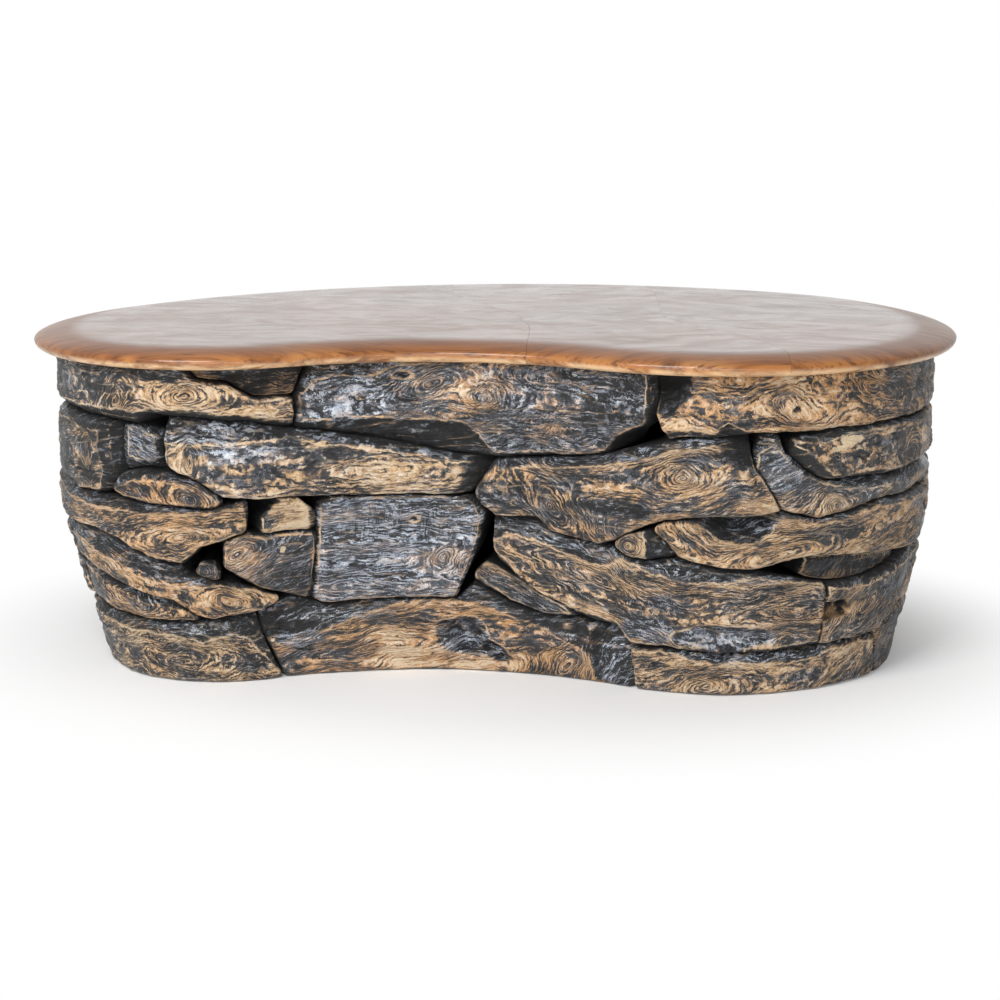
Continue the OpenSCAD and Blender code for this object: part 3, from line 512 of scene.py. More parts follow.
def ring_field(look, u, z, p):
    """Distance across the grain in mm: rings run where it is even."""
    # Places that wander, so that the grain does
    u2 = u + look.wander * grain_noise(p, (70, 34, 60)) + 2.6 * grain_noise(p + 700, (24, 16, 25))
    z2 = z + 0.6 * look.wander * grain_noise(p + 500, (55, 28, 60)) + 2.2 * grain_noise(p + 900, (26, 13, 20))
    if look.curl:
        waves = 2 * np.pi * (u + 0.5 * z) / CURL_LENGTH + 5 * grain_noise(p + 300, (30, 20, 30))
        z2 += look.curl * np.sin(waves) * smooth(-0.2, 0.3, grain_noise(p + 950, (60, 30, 60)))
    if not look.rings:
        return turned(u2, z2, 0, 0, look.tilt)[1]
    near = np.zeros(len(u))
    for at_u, at_z, stretch, tilt in look.rings:
        along, across = turned(u2, z2, at_u, at_z, tilt)
        along = RING_REACH * np.tanh(np.abs(along) / (stretch * RING_REACH))
        near += np.exp(-np.hypot(along, across) / RING_BLEND)
    return -RING_BLEND * np.log(near + 1e-12)


def hollow_depth(look, u, z, p):
    """Depth of the look's hollows, and how far each point lies inside the nearest one."""
    deep = np.zeros(len(u))
    inside = np.full(len(u), -FAR_OFF)
    for at_u, at_z, half_l, half_h, tilt, depth in look.hollows:
        along, across = turned(u, z, at_u, at_z, tilt)
        q = np.hypot(along / half_l, across / half_h) + 0.22 * lumps(p + 70, min(half_l, half_h) * 1.3)
        deep = np.maximum(deep, depth * smooth(1.06, 0.62, q))
        inside = np.maximum(inside, (1 - q) * min(half_l, half_h))
    return deep, inside


def painted(look, finish, u, z, p):
    """How much of a finish the look's patches put on each point, with uneven borders."""
    total = np.zeros(len(u))
    for kind, at_u, at_z, half_l, half_h, amount in look.patches:
        if kind == finish:
            q = np.hypot((u - at_u) / half_l, (z - at_z) / half_h) + 0.35 * patch_noise(p + 30, (24, 12, 24))
            total += amount * smooth(1.15, 0.6, q)
    return total


def edge_wear(mesh, points):
    """How far each point stands proud of those around it, in mm: positive along edges."""
    edges = np.empty(len(mesh.edges) * 2, int)
    mesh.edges.foreach_get("vertices", edges)
    a, b = edges[::2], edges[1::2]
    links = np.maximum(np.bincount(a, minlength=len(points)) + np.bincount(b, minlength=len(points)), 1)
    around = np.empty(points.shape)
    for k in range(3):
        near = (np.bincount(a, weights=points[b, k], minlength=len(points))
                + np.bincount(b, weights=points[a, k], minlength=len(points)))
        around[:, k] = 0.5 * points[:, k] + 0.5 * near / links
    return np.sum((points - around) * on_points(mesh, "normal"), axis=1)


# The plain block's rounded shoulder is read in steps from its edge, down to a depth behind the face, in mm
SHOULDER_STEP = 2.0
SHOULDER_STEPS = 16
SHOULDER_W = 30
SHOULDER_DEPTH = 40


def plain_edge(distance, depth):
    """How deep the plain block's edge lies at each distance from it: its rounded shoulder."""
    near = (distance < SHOULDER_W) & (depth < SHOULDER_DEPTH)
    place = (distance[near] / SHOULDER_STEP).astype(int)
    profile = np.full(SHOULDER_STEPS, np.inf)
    np.minimum.at(profile, place, depth[near])
    profile[np.isinf(profile)] = profile.min()
    profile = np.minimum.accumulate(profile)
    return np.interp(distance, (np.arange(SHOULDER_STEPS) + 0.5) * SHOULDER_STEP, profile - profile.min())


# Adze cuts, in mm: area of each, how their slopes vary along and up the wall, how much lower or higher each
# lies, twice the radii that they are hollowed to, and the least and greatest depth
FACET_AREA = 1100
FACET_SLOPE_U = 0.035
FACET_SLOPE_Z = 0.10
FACET_START = 1.6
FACET_HOLLOW_U = 1100
FACET_HOLLOW_Z = 260
FACET_RANGE = (-4, 6)


def facets(seed, u, z, low, high):
    """Shallow adze cuts that meet in ridges, in mm below the face."""
    rng = np.random.default_rng(seed)
    count = int(max(5, (high[0] - low[0]) * (high[1] - low[1]) / FACET_AREA))
    at_u = rng.uniform(low[0] - 10, high[0] + 10, count)
    at_z = rng.uniform(low[1] - 5, high[1] + 5, count)
    slope_u = rng.normal(0, FACET_SLOPE_U, count)
    slope_z = rng.normal(0, FACET_SLOPE_Z, count)
    start = rng.uniform(-FACET_START, FACET_START, count)
    cut = np.full(len(u), float(FACET_RANGE[0]))
    for k in range(count):
        du = u - at_u[k]
        dz = z - at_z[k]
        cut = np.maximum(cut, start[k] + slope_u[k] * du + slope_z[k] * dz
                         - du * du / FACET_HOLLOW_U - dz * dz / FACET_HOLLOW_Z)
    return np.clip(cut, *FACET_RANGE)


def keep_on_points(mesh, name, values):
    """Keeps a number or a place for each point under a name that the material reads."""
    if values.ndim == 2:
        mesh.attributes.new(name, "FLOAT_VECTOR", "POINT").data.foreach_set("vector", values.ravel())
    else:
        mesh.attributes.new(name, "FLOAT", "POINT").data.foreach_set("value", values)


def line_at(line, u):
    """Height of a drawn line at each u, and the cosine of its slope there."""
    us = [place[0] for place in line]
    zs = [place[1] for place in line]
    rise = (np.interp(u + 2, us, zs) - np.interp(u - 2, us, zs)) / 4
    return np.interp(u, us, zs), 1 / np.sqrt(1 + rise * rise)


# Slopes cut from the face: their greatest depth and the height of the steps on them, in mm
SLOPE_DEPTH = 17
SLOPE_STEPS = 1.5


def slope_cuts(look, wall):
    """Each slope cut from the face: its fall, and how far each point lies past its ragged crease."""
    u, z, p = wall.u, wall.z, wall.p
    ragged = 1.5 * lumps(p * (1, 0.4, 0.3), (14, 14, 30)) + 1.1 * ripples(p * (1, 0.6, 0.3), (5.5, 6, 20))
    cuts = []
    if look.top_line:
        line, lean = line_at(look.top_line, u)
        cuts.append((look.top_fall, (z - line) * lean + ragged))
    if look.bottom_line:
        line, lean = line_at(look.bottom_line, u)
        cuts.append((look.bottom_fall, (line - z) * lean + ragged))
    for (reach, cut), distance in ((look.left_cut, wall.from_left), (look.right_cut, wall.from_right)):
        if reach:
            cuts.append((cut / reach, reach - distance + ragged))
    return cuts


# Share by which the rounding of the edges varies, and share of it at which the finish places their crease
ROUNDING_SWING = 0.35
CREASE_AT = 0.7
# Width of a crack, in parts of its noise, and the range of another noise over which the cracks come in
CRACK_HALF_W = 0.07
CRACKED = (0.1, 0.45)

# Heights of what wears the face, in mm
FACET_SHARE = 0.55
WIDE_LUMPS = 2.2
SMALL_LUMPS = 0.7
CRACK_DEPTH = 2.2
RING_RELIEF = 0.32
RIPPLE_RELIEF = 0.5
CREASE_LUMPS = 0.6
COMB_RELIEF = 0.6
LIT_LUMPS = 2.6
ISLAND_STEP = 1.5

# The rings in relief are this many times further apart than the painted ones
RELIEF_PITCH = 2.4
# The low islands begin at this level of their noise, and their step is as wide as this much of it
ISLAND_LEVEL = 0.12
ISLAND_EDGE = 0.05
# Share of the plain block's rounded shoulder that is taken back to a flat face with a crisp edge
KEEP_FLAT = 0.8
# Furthest that a point may stand proud of the plain block, and furthest that it may lie behind it, in mm
SHOW_PROUD = 4
DEEPEST_CUT = 60


def wear_down(wall, look, seed):
    """How far each point is cut or worn inwards, in mm, and the marks that its finish follows."""
    u, z, p = wall.u, wall.z, wall.p
    shoulder = plain_edge(wall.from_bed, wall.depth)
    worn = look.rough * (FACET_SHARE * facets(seed, u, z, wall.low, wall.high)
                         + WIDE_LUMPS * lumps(p, (120, 46, 60)) + SMALL_LUMPS * lumps(p + 300, (30, 12, 26)))
    inward = worn.copy()
    crease = np.full(len(u), -FAR_OFF)
    for fall, past in slope_cuts(look, wall):
        steps = SLOPE_STEPS * lumps(p + 600, (40, 6, 12)) * smooth(1, 6, past)
        inward = np.maximum(inward, SLOPE_DEPTH * np.tanh(fall * past / SLOPE_DEPTH) + steps)
        crease = np.maximum(crease, past - worn / fall)
    radius = look.rounding * (1 + ROUNDING_SWING * lumps(p + 200, (26, 16, 40)))
    inward += radius * (1 - np.sqrt(1 - np.clip(1 - wall.from_edge / radius, 0, 1) ** 2))
    crease = np.maximum(crease, CREASE_AT * radius - wall.from_edge)
    crack_line = np.abs(ripples(p + 50, (150, 15, 60)))
    crack = (1 - smooth(0, CRACK_HALF_W, crack_line)) * smooth(*CRACKED, lumps(p + 90, (70, 26, 60)))
    inward += look.rough * CRACK_DEPTH * crack
    rings = ring_field(look, u, z, p)
    inward += RING_RELIEF * look.rough * np.cos(2 * np.pi * rings / (RELIEF_PITCH * look.pitch))
    inward += RIPPLE_RELIEF * look.rough * ripples(p + 400, (15, 5.5, 12))
    inward += CREASE_LUMPS * look.rough * lumps(p + 420, (9, 6, 9)) * smooth(-2, 4, crease)
    comb = painted(look, "comb", u, z, p)
    inward += COMB_RELIEF * comb * ripples(p + 450, (5.5, 22, 12))
    inward += LIT_LUMPS * painted(look, "lit", u, z, p) * lumps(p + 480, (13, 9, 14))
    hollow, inside = hollow_depth(look, u, z, p)
    crease = np.maximum(crease, inside)
    island = lumps(p + 800, (95, 15, 50)) - ISLAND_LEVEL
    inward += hollow + ISLAND_STEP * look.rough * smooth(-ISLAND_EDGE, ISLAND_EDGE, island)
    inward = np.clip(inward - KEEP_FLAT * shoulder, -SHOW_PROUD - shoulder, DEEPEST_CUT)
    return inward, {"crease": crease, "crack": crack, "rings": rings, "comb": comb, "hollow": hollow,
                    "island": island}


# Depth behind the face over which the moves fade out, and height over which they fade at floor and top, in mm
FACE_FROM = 6
FACE_DEPTH = 45
END_FADE = 14


def move_points(points, wall, inward):
    """Moves the points near the face inwards, and a little along and up the wall, for uneven joints."""
    near_face = 1 - smooth(wall.face + FACE_FROM, wall.face + FACE_DEPTH, wall.depth)
    ends = smooth(0, END_FADE, wall.z) * smooth(BASE_TOP, BASE_TOP - END_FADE, wall.z)
    flat = wall.p * (1, 1, 0)
    slide = 2.2 * lumps(flat + 40, (60, 40, 60)) + 0.9 * lumps(flat + 80, (19, 14, 20))
    lift = 1.8 * lumps(flat + 120, (52, 60, 60)) + 0.9 * lumps(flat + 160, (17, 17, 20))
    lift += 0.5 * ripples(flat + 190, (7, 9, 20))
    tangent = np.stack([-wall.normal[:, 1], wall.normal[:, 0]], axis=1)
    points[:, :2] -= wall.normal * (inward * near_face)[:, None]
    points[:, :2] += tangent * (slide * near_face)[:, None]
    points[:, 2] += lift * near_face * ends


# Step between two painted rings in mm. A look's own rings are brought to it.
RING_PITCH = 2.8
# Places along the wall where the blocks begin to get darker towards the left end, and where they are darkest
LEFT_DARKENING = (350, 262)
# Distance in mm that one unit of the islands' noise stands for
ISLAND_SPREAD = 14


def mark_finish(mesh, wall, look, points, inward, marks):
    """Keeps on the points how far they are brushed, their painted shade and sheen, how they are coloured and
    their edges.
    """
    u, p = wall.u, wall.p
    z = points[:, 2]
    crease, island = marks["crease"], marks["island"]
    # Up-facing share of each normal: slopes that face down get painted shade, those that face up painted
    # sheen
    upward = on_points(mesh, "normal")[:, 2]
    # A hollow painted as lit gets none of the painted shade of recesses, and is brushed at least a little
    lit = np.clip(painted(look, "lit", u, z, p), 0, 1)
    behind = (wall.depth - wall.face) * (1 - lit)
    slope = smooth(0, 5, crease)

    # Brushed unevenly: less on slopes, in cracks and in hollows, and more beside a crease. Darker still, as
    # painted shade, on slopes that face down and behind the face
    gold = look.gold + 0.3 * patch_noise(p, (95, 30, 60)) + 0.13 * patch_noise(p + 150, (34, 9, 20))
    gold += painted(look, "gold", u, z, p) - painted(look, "char", u, z, p)
    gold -= (slope * (0.34 + 0.3 * smooth(0.1, -0.3, upward)) + 0.5 * marks["crack"]
             + 0.6 * smooth(5, 15, behind) + 0.05 * np.clip(marks["hollow"], 0, 12))
    gold += 0.12 * smooth(-14, -2, crease) * (1 - slope) - 0.09 * smooth(0, 0.25, island)
    gold -= 0.06 + 0.34 * smooth(LEFT_DARKENING[0], LEFT_DARKENING[1], u)

    # Painted bluish sheen, more on slopes that face up and less on those that face down or lie behind the
    # face.
    # It also sets the gloss of the coat
    blue = look.blue + 0.3 * patch_noise(p + 250, (60, 26, 50)) + painted(look, "blue", u, z, p)
    blue += slope * (0.45 * smooth(0.15, 0.5, upward) * smooth(-0.2, 0.3, patch_noise(p + 350, (70, 30, 40)))
                     - 0.5 * smooth(0.1, -0.2, upward))
    blue -= 0.4 * smooth(12, 26, behind)

    kept = {
        "wall": p,
        "rings": marks["rings"] * (RING_PITCH / look.pitch),
        "wear": edge_wear(mesh, points),
        "crease": crease,
        "ledge": np.clip(island * ISLAND_SPREAD, -FAR_OFF, FAR_OFF),
        "gold": np.maximum(gold, 0.36 * lit),
        "warm": look.warm + 0.25 * patch_noise(p + 350, (70, 40, 60)),
        "blue": np.clip(blue, 0, 1),
        "bare": painted(look, "bare", u, z, p),
        # Depth behind the face, more where worn in, which sets the painted shade of gaps and recesses
        "behind": np.clip(behind + np.clip(inward, 0, 20) * 0.3 * (1 - lit), 0, 100),
        "comb": marks["comb"],
    }
    for name, values in kept.items():
        keep_on_points(mesh, name, values)


def shape_block(obj, node):
    """Weathers a block: cuts and slopes its edges, wears its face and keeps what the finish needs."""
    mesh = even_mesh(obj, FRONT_VOXEL if node in FRONT_LOOKS else REAR_VOXEL)
    points = on_points(mesh, "co") / MM
    wall = BlockWall(points)
    look = FRONT_LOOKS.get(node) or unseen_look(node, wall.low, wall.high)
    inward, marks = wear_down(wall, look, len(node) * 7 + int(wall.low[0]))
    move_points(points, wall, inward)
    mesh.vertices.foreach_set("co", (points * MM).ravel())
    mesh.update()
    mark_finish(mesh, wall, look, points, inward, marks)
    return obj


class Socket:
    """A value in a material's nodes. Python's operators add the nodes."""

    def __init__(self, tree, socket):
        self.tree = tree
        self.socket = socket

    def node(self, kind, settings=None, inputs=None, output=0):
        """Adds a node of any kind with its settings and the values or links of its sockets."""
        made = self.tree.nodes.new(kind)
        for name, value in (settings or {}).items():
            setattr(made, name, value)
        for name, value in (inputs or {}).items():
            if isinstance(value, Socket):
                self.tree.links.new(value.socket, made.inputs[name])
            else:
                made.inputs[name].default_value = value
        return Socket(self.tree, made.outputs[output])

    def maths(self, operation, *others, clamp=False):
        """A Math node on this value and the others."""
        inputs = dict(enumerate((self, *others)))
        return self.node("ShaderNodeMath", {"operation": operation, "use_clamp": clamp}, inputs)

    def __add__(self, other):
        return self.maths("ADD", other)

    def __radd__(self, other):
        return self.maths("ADD", other)

    def __sub__(self, other):
        return self.maths("SUBTRACT", other)

    def __rsub__(self, other):
        return self.node("ShaderNodeMath", {"operation": "SUBTRACT"}, {0: other, 1: self})

    def __mul__(self, other):
        return self.maths("MULTIPLY", other)

    def __rmul__(self, other):
        return self.maths("MULTIPLY", other)

    def step(self, low, high):
        """0 below low, 1 above high and smooth between."""
        return self.node("ShaderNodeMapRange", {"interpolation_type": "SMOOTHSTEP"},
                         {"Value": self, "From Min": low, "From Max": high})

    def clamped(self):
        """The value kept between 0 and 1."""
        return self.maths("ADD", 0.0, clamp=True)


class Material:
    """A procedural material: its tree, its shader and short calls for the nodes used here."""

    def __init__(self, name):
        self.data = bpy.data.materials.new(name)
        self.data.use_nodes = True
        self.tree = self.data.node_tree
        self.shader = self.tree.nodes["Principled BSDF"]
        self.root = Socket(self.tree, None)

    def attribute(self, name, output="Fac"):
        return self.root.node("ShaderNodeAttribute", {"attribute_name": name}, output=output)

    def place(self):
        return self.root.node("ShaderNodeTexCoord", output="Object")

    def vector(self, x, y, z):
        return self.root.node("ShaderNodeCombineXYZ", inputs={"X": x, "Y": y, "Z": z})

    def split(self, vector):
        return [self.root.node("ShaderNodeSeparateXYZ", inputs={"Vector": vector}, output=axis)
                for axis in ("X", "Y", "Z")]

    def scaled(self, vector, by):
        return self.root.node("ShaderNodeVectorMath", {"operation": "MULTIPLY"}, {0: vector, 1: by})

    def noise(self, vector, scale=1.0, detail=3.0, roughness=0.55, distortion=0.0):
        return self.root.node("ShaderNodeTexNoise", inputs={
            "Vector": vector, "Scale": scale, "Detail": detail, "Roughness": roughness,
            "Distortion": distortion})

    def mix(self, share, a, b):
        return self.root.node("ShaderNodeMix", {"data_type": "RGBA"}, {0: share, 6: a, 7: b}, output=2)

    def bump(self, height, distance):
        return self.root.node("ShaderNodeBump", inputs={"Height": height, "Distance": distance})

    def set(self, **inputs):
        """Sets the shader's sockets to values or links, and gives the finished material."""
        for name, value in inputs.items():
            socket = self.shader.inputs[name.replace("_", " ")]
            if isinstance(value, Socket):
                self.tree.links.new(value.socket, socket)
            else:
                socket.default_value = value
        return self.data


def rgb(red, green, blue):
    return (red, green, blue, 1.0)


# Colours of the charred wood, from the painted shade of the deepest gaps to the brushed grain and the bare
# spot, with a painted bluish sheen and its painted glints
PAINTED_SHADE_BLACK = rgb(0.006, 0.006, 0.006)
CHAR = rgb(0.017, 0.017, 0.018)
ASH = rgb(0.062, 0.060, 0.062)
PAINTED_SHEEN_DIM = rgb(0.093, 0.108, 0.138)
PAINTED_SHEEN_PALE = rgb(0.56, 0.63, 0.76)
BRONZE = rgb(0.235, 0.150, 0.084)
STRAW = rgb(0.80, 0.54, 0.30)
ORANGE = rgb(0.72, 0.38, 0.155)
PALE_EDGE = rgb(0.93, 0.75, 0.53)
PAINTED_GLINT = rgb(0.84, 0.91, 1.0)
BARE_WOOD = rgb(0.86, 0.68, 0.45)


def charred_wood(name):
    """Charred wood, brushed back to the grain: golden rings and edges, a painted bluish sheen, and hollows
    dark with char and with painted shade.
    """
    m = Material(name)
    wall = m.attribute("wall", "Vector")
    u, z, depth = m.split(wall)
    # Brushing, lowered as painted shade behind the face and on slopes that face down
    gold = m.attribute("gold")
    crease = m.attribute("crease")
    behind = m.attribute("behind")
    rings = m.attribute("rings")

    # Figure of the grain: rings near their centres, and fibres, streaks and clouds everywhere
    coarse = m.noise(wall, 0.03, 2.0)
    wavy = m.noise(wall, 0.13, 3.0)
    grit = m.noise(wall, 0.6, 4.0, 0.7)
    near_ring = 1.0 - rings.step(14.0, 52.0)
    sway = m.noise(m.scaled(wall, (0.035, 0.12, 0.12)), 1.0, 3.0)
    quiver = 4.5 * (sway - 0.5) + 2.2 * (wavy - 0.5) + 2.4 * (m.noise(wall, 0.4, 2.0) - 0.5)
    across = rings + quiver * (1.0 - 0.5 * near_ring)
    cloud = m.noise(m.vector(across * 0.075, u * 0.018, z * 0.018), 1.0, 4.0, 0.6)
    line = (across * (2 * math.pi / RING_PITCH) + 14.0 * coarse + 7.0 * wavy).maths("SINE").step(0.1, 0.9)
    band = (across * (2 * math.pi / (3.1 * RING_PITCH)) + 9.0 * coarse).maths("SINE")
    fibre = m.noise(m.vector(across * 0.95, u * 0.075, z * 0.075), 1.0, 3.0, 0.62)
    streak = m.noise(m.vector(across * 0.2, u * 0.022, z * 0.022), 1.0, 3.0, 0.6)
    combed = m.noise(m.vector(u * 0.6, z * 0.06, depth * 0.06), 1.0, 3.0, 0.6)
    clear = (0.3 + 0.7 * near_ring) * m.noise(wall, 0.028, 2.0).step(0.38, 0.54) * wavy.step(0.30, 0.46)
    detail = (2.0 * (fibre - 0.5) + 1.1 * (streak - 0.5) + 0.6 * (grit - 0.5) + 0.07 * band
              - 0.44 * (line - 0.35) * clear + 1.5 * (combed - 0.5) * m.attribute("comb"))
    level = 0.5 + 1.15 * (gold - 0.5) + detail + 0.6 * (cloud - 0.5)

    # Colour of the char, with its painted bluish sheen, and of the wood brushed out of it
    warm = m.attribute("warm").clamped()
    blue = (m.attribute("blue") + 0.9 * (m.noise(wall, 0.07, 3.0) - 0.5)).clamped()
    dark = m.mix(level.step(0.05, 0.50), CHAR, ASH)
    # The painted bluish sheen, from dim to pale
    painted_sheen = m.mix((detail + 0.3 * (cloud - 0.5)).step(-0.02, 0.26), PAINTED_SHEEN_DIM, PAINTED_SHEEN_PALE)
    dark = m.mix(blue * level.step(0.0, 0.36), dark, painted_sheen)
    golden = m.mix(level.step(0.52, 0.82), BRONZE, m.mix(warm, STRAW, ORANGE))
    colour = m.mix(level.step(0.475, 0.575) * (1.0 - 0.55 * blue), dark, golden)
    colour = m.mix(level.step(0.84, 1.06) * (1.0 - 0.4 * blue), colour, PALE_EDGE)

    # Worn creases, edges and rims of the low islands, which keep their pale line only in places
    rim_colour = m.mix(warm * 0.6, PALE_EDGE, ORANGE)
    off_crease = (crease + 0.8 + 3.4 * (grit - 0.5) + 4.0 * (wavy - 0.5)).maths("ABSOLUTE")
    worn_edge = (m.attribute("wear") + 0.25 * (grit - 0.5)).step(0.20, 0.42)
    off_ledge = (m.attribute("ledge") + 3.0 * (grit - 0.5)).maths("ABSOLUTE")
    ledge = (1.0 - off_ledge.step(0.3, 1.2)) * m.noise(wall, 0.034, 2.0).step(0.42, 0.56)
    rim = (1.0 - off_crease.step(0.4, 1.6)) + 0.5 * worn_edge + 0.4 * ledge
    kept = m.noise(wall, 0.022, 2.0).step(0.38, 0.54)
    kept *= 0.35 + 0.65 * m.noise(wall, 0.09, 2.0).step(0.42, 0.54)
    rim = rim.clamped() * (1.0 - behind.step(11.0, 22.0)) * (0.1 + 0.9 * kept)
    glint = fibre.step(0.57, 0.64) * level.step(0.42, 0.62) * (1.0 - 0.7 * blue)
    colour = m.mix(glint * 0.8, colour, rim_colour)
    # Painted glints, near white, on the fibres where the painted sheen is, and none behind the face
    open_face = 1.0 - behind.step(5.0, 14.0)
    painted_glints = (0.6 * fibre + 0.4 * grit).step(0.54, 0.60) * (blue - 0.05) * 1.5 * open_face
    colour = m.mix(painted_glints.clamped() * 0.75, colour, PAINTED_GLINT)
    colour = m.mix(rim, colour, rim_colour)
    bare = (m.attribute("bare") + 1.5 * (m.noise(wall, 0.12, 4.0, 0.6) - 0.5)).step(0.46, 0.56)
    colour = m.mix(bare, colour, BARE_WOOD)
    # Painted shade, near black, in gaps and recesses that lie deep behind the face
    colour = m.mix(behind.step(9.0, 27.0), colour, PAINTED_SHADE_BLACK)

    # Relief and gloss
    height = 1.4 * detail + 0.8 * (cloud - 0.5) + 0.3 * m.noise(wall, 1.1, 3.0)
    roughness = 0.36 + 0.3 * grit
    sheen = (0.12 + 0.88 * blue) * (0.25 + 0.75 * coarse.step(0.4, 0.6)) * open_face
    return m.set(Base_Color=colour, Roughness=roughness, Specular_IOR_Level=0.5,
                 Coat_Weight=0.9 * sheen, Coat_Roughness=0.2, Normal=m.bump(height, 0.0044))


# Colours of the oiled top, of the painted highlight along its lowest edge, and of the knot in it
OIL_RED = rgb(0.165, 0.058, 0.019)
OIL_ORANGE = rgb(0.335, 0.135, 0.040)
OIL_PALE = rgb(0.50, 0.27, 0.11)
OIL_DARK = rgb(0.085, 0.031, 0.012)
PAINTED_EDGE_HIGHLIGHT = rgb(0.86, 0.60, 0.35)
KNOT_PALE = rgb(0.78, 0.62, 0.45)

# Heights in metres over which the painted highlight of the lowest edge ends,
# the redder upper roll begins and the flat top begins
LOWEST_EDGE = (0.4265, 0.4345)
UPPER_ROLL = (0.4370, 0.4460)
FLAT_TOP = (0.4475, 0.4499)

# Knot in the front edge of the centre board, and a place far from the table for a board without one
EDGE_KNOT = (0.215, -0.354, 0.436)
NO_KNOT = (0, 0, -9)


def oiled_wood(name, turn, offset, knot=NO_KNOT):
    """Oiled, polished wood with the grain along the board, turned by some degrees, and a knot at a point."""
    m = Material(name)
    place = m.place()
    mapped = m.root.node("ShaderNodeMapping", inputs={
        "Vector": place, "Location": offset, "Rotation": (0, 0, math.radians(turn))})
    away = m.root.node("ShaderNodeVectorMath", {"operation": "DISTANCE"}, {0: place, 1: knot}, output="Value")
    swirl = m.noise(mapped, 4.0, 2.0)
    figure = m.noise(m.scaled(mapped, (1.0, 7.0, 5.0)), 3.0, 4.0, 0.6, 1.6)
    growth = m.noise(m.scaled(mapped, (0.7, 24.0, 12.0)), 2.6, 4.0, 0.62, 1.0)
    fibre = m.noise(m.scaled(mapped, (9.0, 330.0, 160.0)), 1.0, 3.0, 0.6)
    flecks = m.noise(m.scaled(mapped, (26.0, 190.0, 90.0)), 1.0, 2.0, 0.5)
    cloud = m.noise(place, 5.5, 4.0, 0.6)
    ring_lines = (away * 1500.0 + 6.0 * cloud).maths("SINE")
    tone = (0.5 * figure + 0.4 * growth + 0.25 * swirl).step(0.46, 0.70)
    colour = m.mix(tone, OIL_ORANGE, OIL_RED)
    colour = m.mix(cloud.step(0.52, 0.72) * 0.45, colour, OIL_PALE)
    colour = m.mix(growth.step(0.60, 0.74) * 0.5, colour, OIL_DARK)
    colour = m.mix(fibre.step(0.54, 0.66) * 0.65, colour, OIL_DARK)
    colour = m.mix(flecks.step(0.60, 0.68) * 0.75, colour, OIL_DARK)
    blot = away + 0.010 * (m.noise(place, 70.0, 3.0) - 0.5)
    colour = m.mix((1.0 - blot.step(0.007, 0.020)) * (0.6 + 0.2 * ring_lines), colour, OIL_DARK)
    colour = m.mix(1.0 - blot.step(0.002, 0.005), colour, KNOT_PALE)
    mottle = m.noise(m.scaled(mapped, (1.0, 1.9, 1.9)), 9.0, 7.0, 0.74, 1.2)
    height = m.root.node("ShaderNodeSeparateXYZ", inputs={"Vector": place}, output="Z")
    # A mottled painted highlight along the lowest edge
    lowest = 1.0 - (height + 0.002 * (cloud - 0.5)).step(*LOWEST_EDGE)
    colour = m.mix(lowest * mottle.step(0.36, 0.58) * 0.75, colour, PAINTED_EDGE_HIGHLIGHT)
    colour = m.mix(height.step(*UPPER_ROLL) * 0.5, colour, OIL_RED)
    flat = height.step(*FLAT_TOP)
    colour = m.mix(flat * (0.2 + 0.4 * cloud.step(0.42, 0.62)), colour, OIL_DARK)
    roughness = 0.20 + 0.20 * mottle + 0.10 * fibre
    uneven = 0.5 * m.noise(place, 11.0, 3.0) + 0.10 * growth + 0.04 * fibre
    varnish = 0.2 + flat * (0.22 + 0.50 * mottle.step(0.34, 0.62) + 0.12 * figure.step(0.40, 0.60))
    return m.set(Base_Color=colour, Roughness=roughness, Specular_IOR_Level=0.3,
                 Coat_Weight=varnish, Coat_Roughness=0.10, Normal=m.bump(uneven, 0.0016))


def planed_wood(name, light, dark, size):
    """Bare planed or turned wood."""
    m = Material(name)
    growth = m.noise(m.scaled(m.place(), (1.0, 22.0, 22.0)), size, 4.0, 0.6, 0.6)
    fibre = m.noise(m.scaled(m.place(), (8.0, 300.0, 300.0)), 1.0, 3.0, 0.6)
    colour = m.mix(growth.step(0.35, 0.7), light, dark)
    colour = m.mix(fibre.step(0.6, 0.75) * 0.3, colour, dark)
    return m.set(Base_Color=colour, Roughness=0.62 + 0.2 * fibre, Normal=m.bump(growth + 0.4 * fibre, 0.0004))


def screw_steel(name):
    """Plain steel, lightly scratched."""
    m = Material(name)
    scratch = m.noise(m.scaled(m.place(), (400.0, 400.0, 40.0)), 1.0, 3.0)
    tone = m.mix(scratch, rgb(0.36, 0.37, 0.39), rgb(0.52, 0.53, 0.54))
    return m.set(Base_Color=tone, Metallic=1.0, Roughness=0.28 + 0.2 * scratch)


# The top's rolled edge and its two seams, front to back, in mm
UPPER_ROLL_H = 16
LOWER_ROLL_H = SLAB - UPPER_ROLL_H
FRONT_ROLL_W = 50
TIP_ROLL_W = 90
LOWER_ROLL_W = 16
SEAM_GAP = 0.3
REAR_SEAM = 0.35            # share of the gap that is left in the rear half
SEAM_CHANGE = (-120, 60)    # y where the gap begins to narrow, and where it has narrowed
LEFT_SEAM = ((28, -420), (41, -190), (43, -125), (36, -50), (22, 18), (-19, 109), (-47, 179), (-58, 216),
             (-58, 420))
RIGHT_SEAM = ((362, -420), (352, -294), (312, -188), (229, -31), (226, 99), (224, 261), (205, 420))
RIM_STEP = 5.0      # between two points along the rim
SEAM_STEP = 8.0     # and along a seam
ROLL_WIDENING = 3   # power by which the upper roll widens towards the tips
HALVINGS = 40       # in the search for the place where a seam meets the rim

# Degrees between two levels of the lower and of the upper roll, and at which an edge stays sharp
LOWER_ROLL_TURN = 15
UPPER_ROLL_TURN = 6
SHARP_FROM = 40


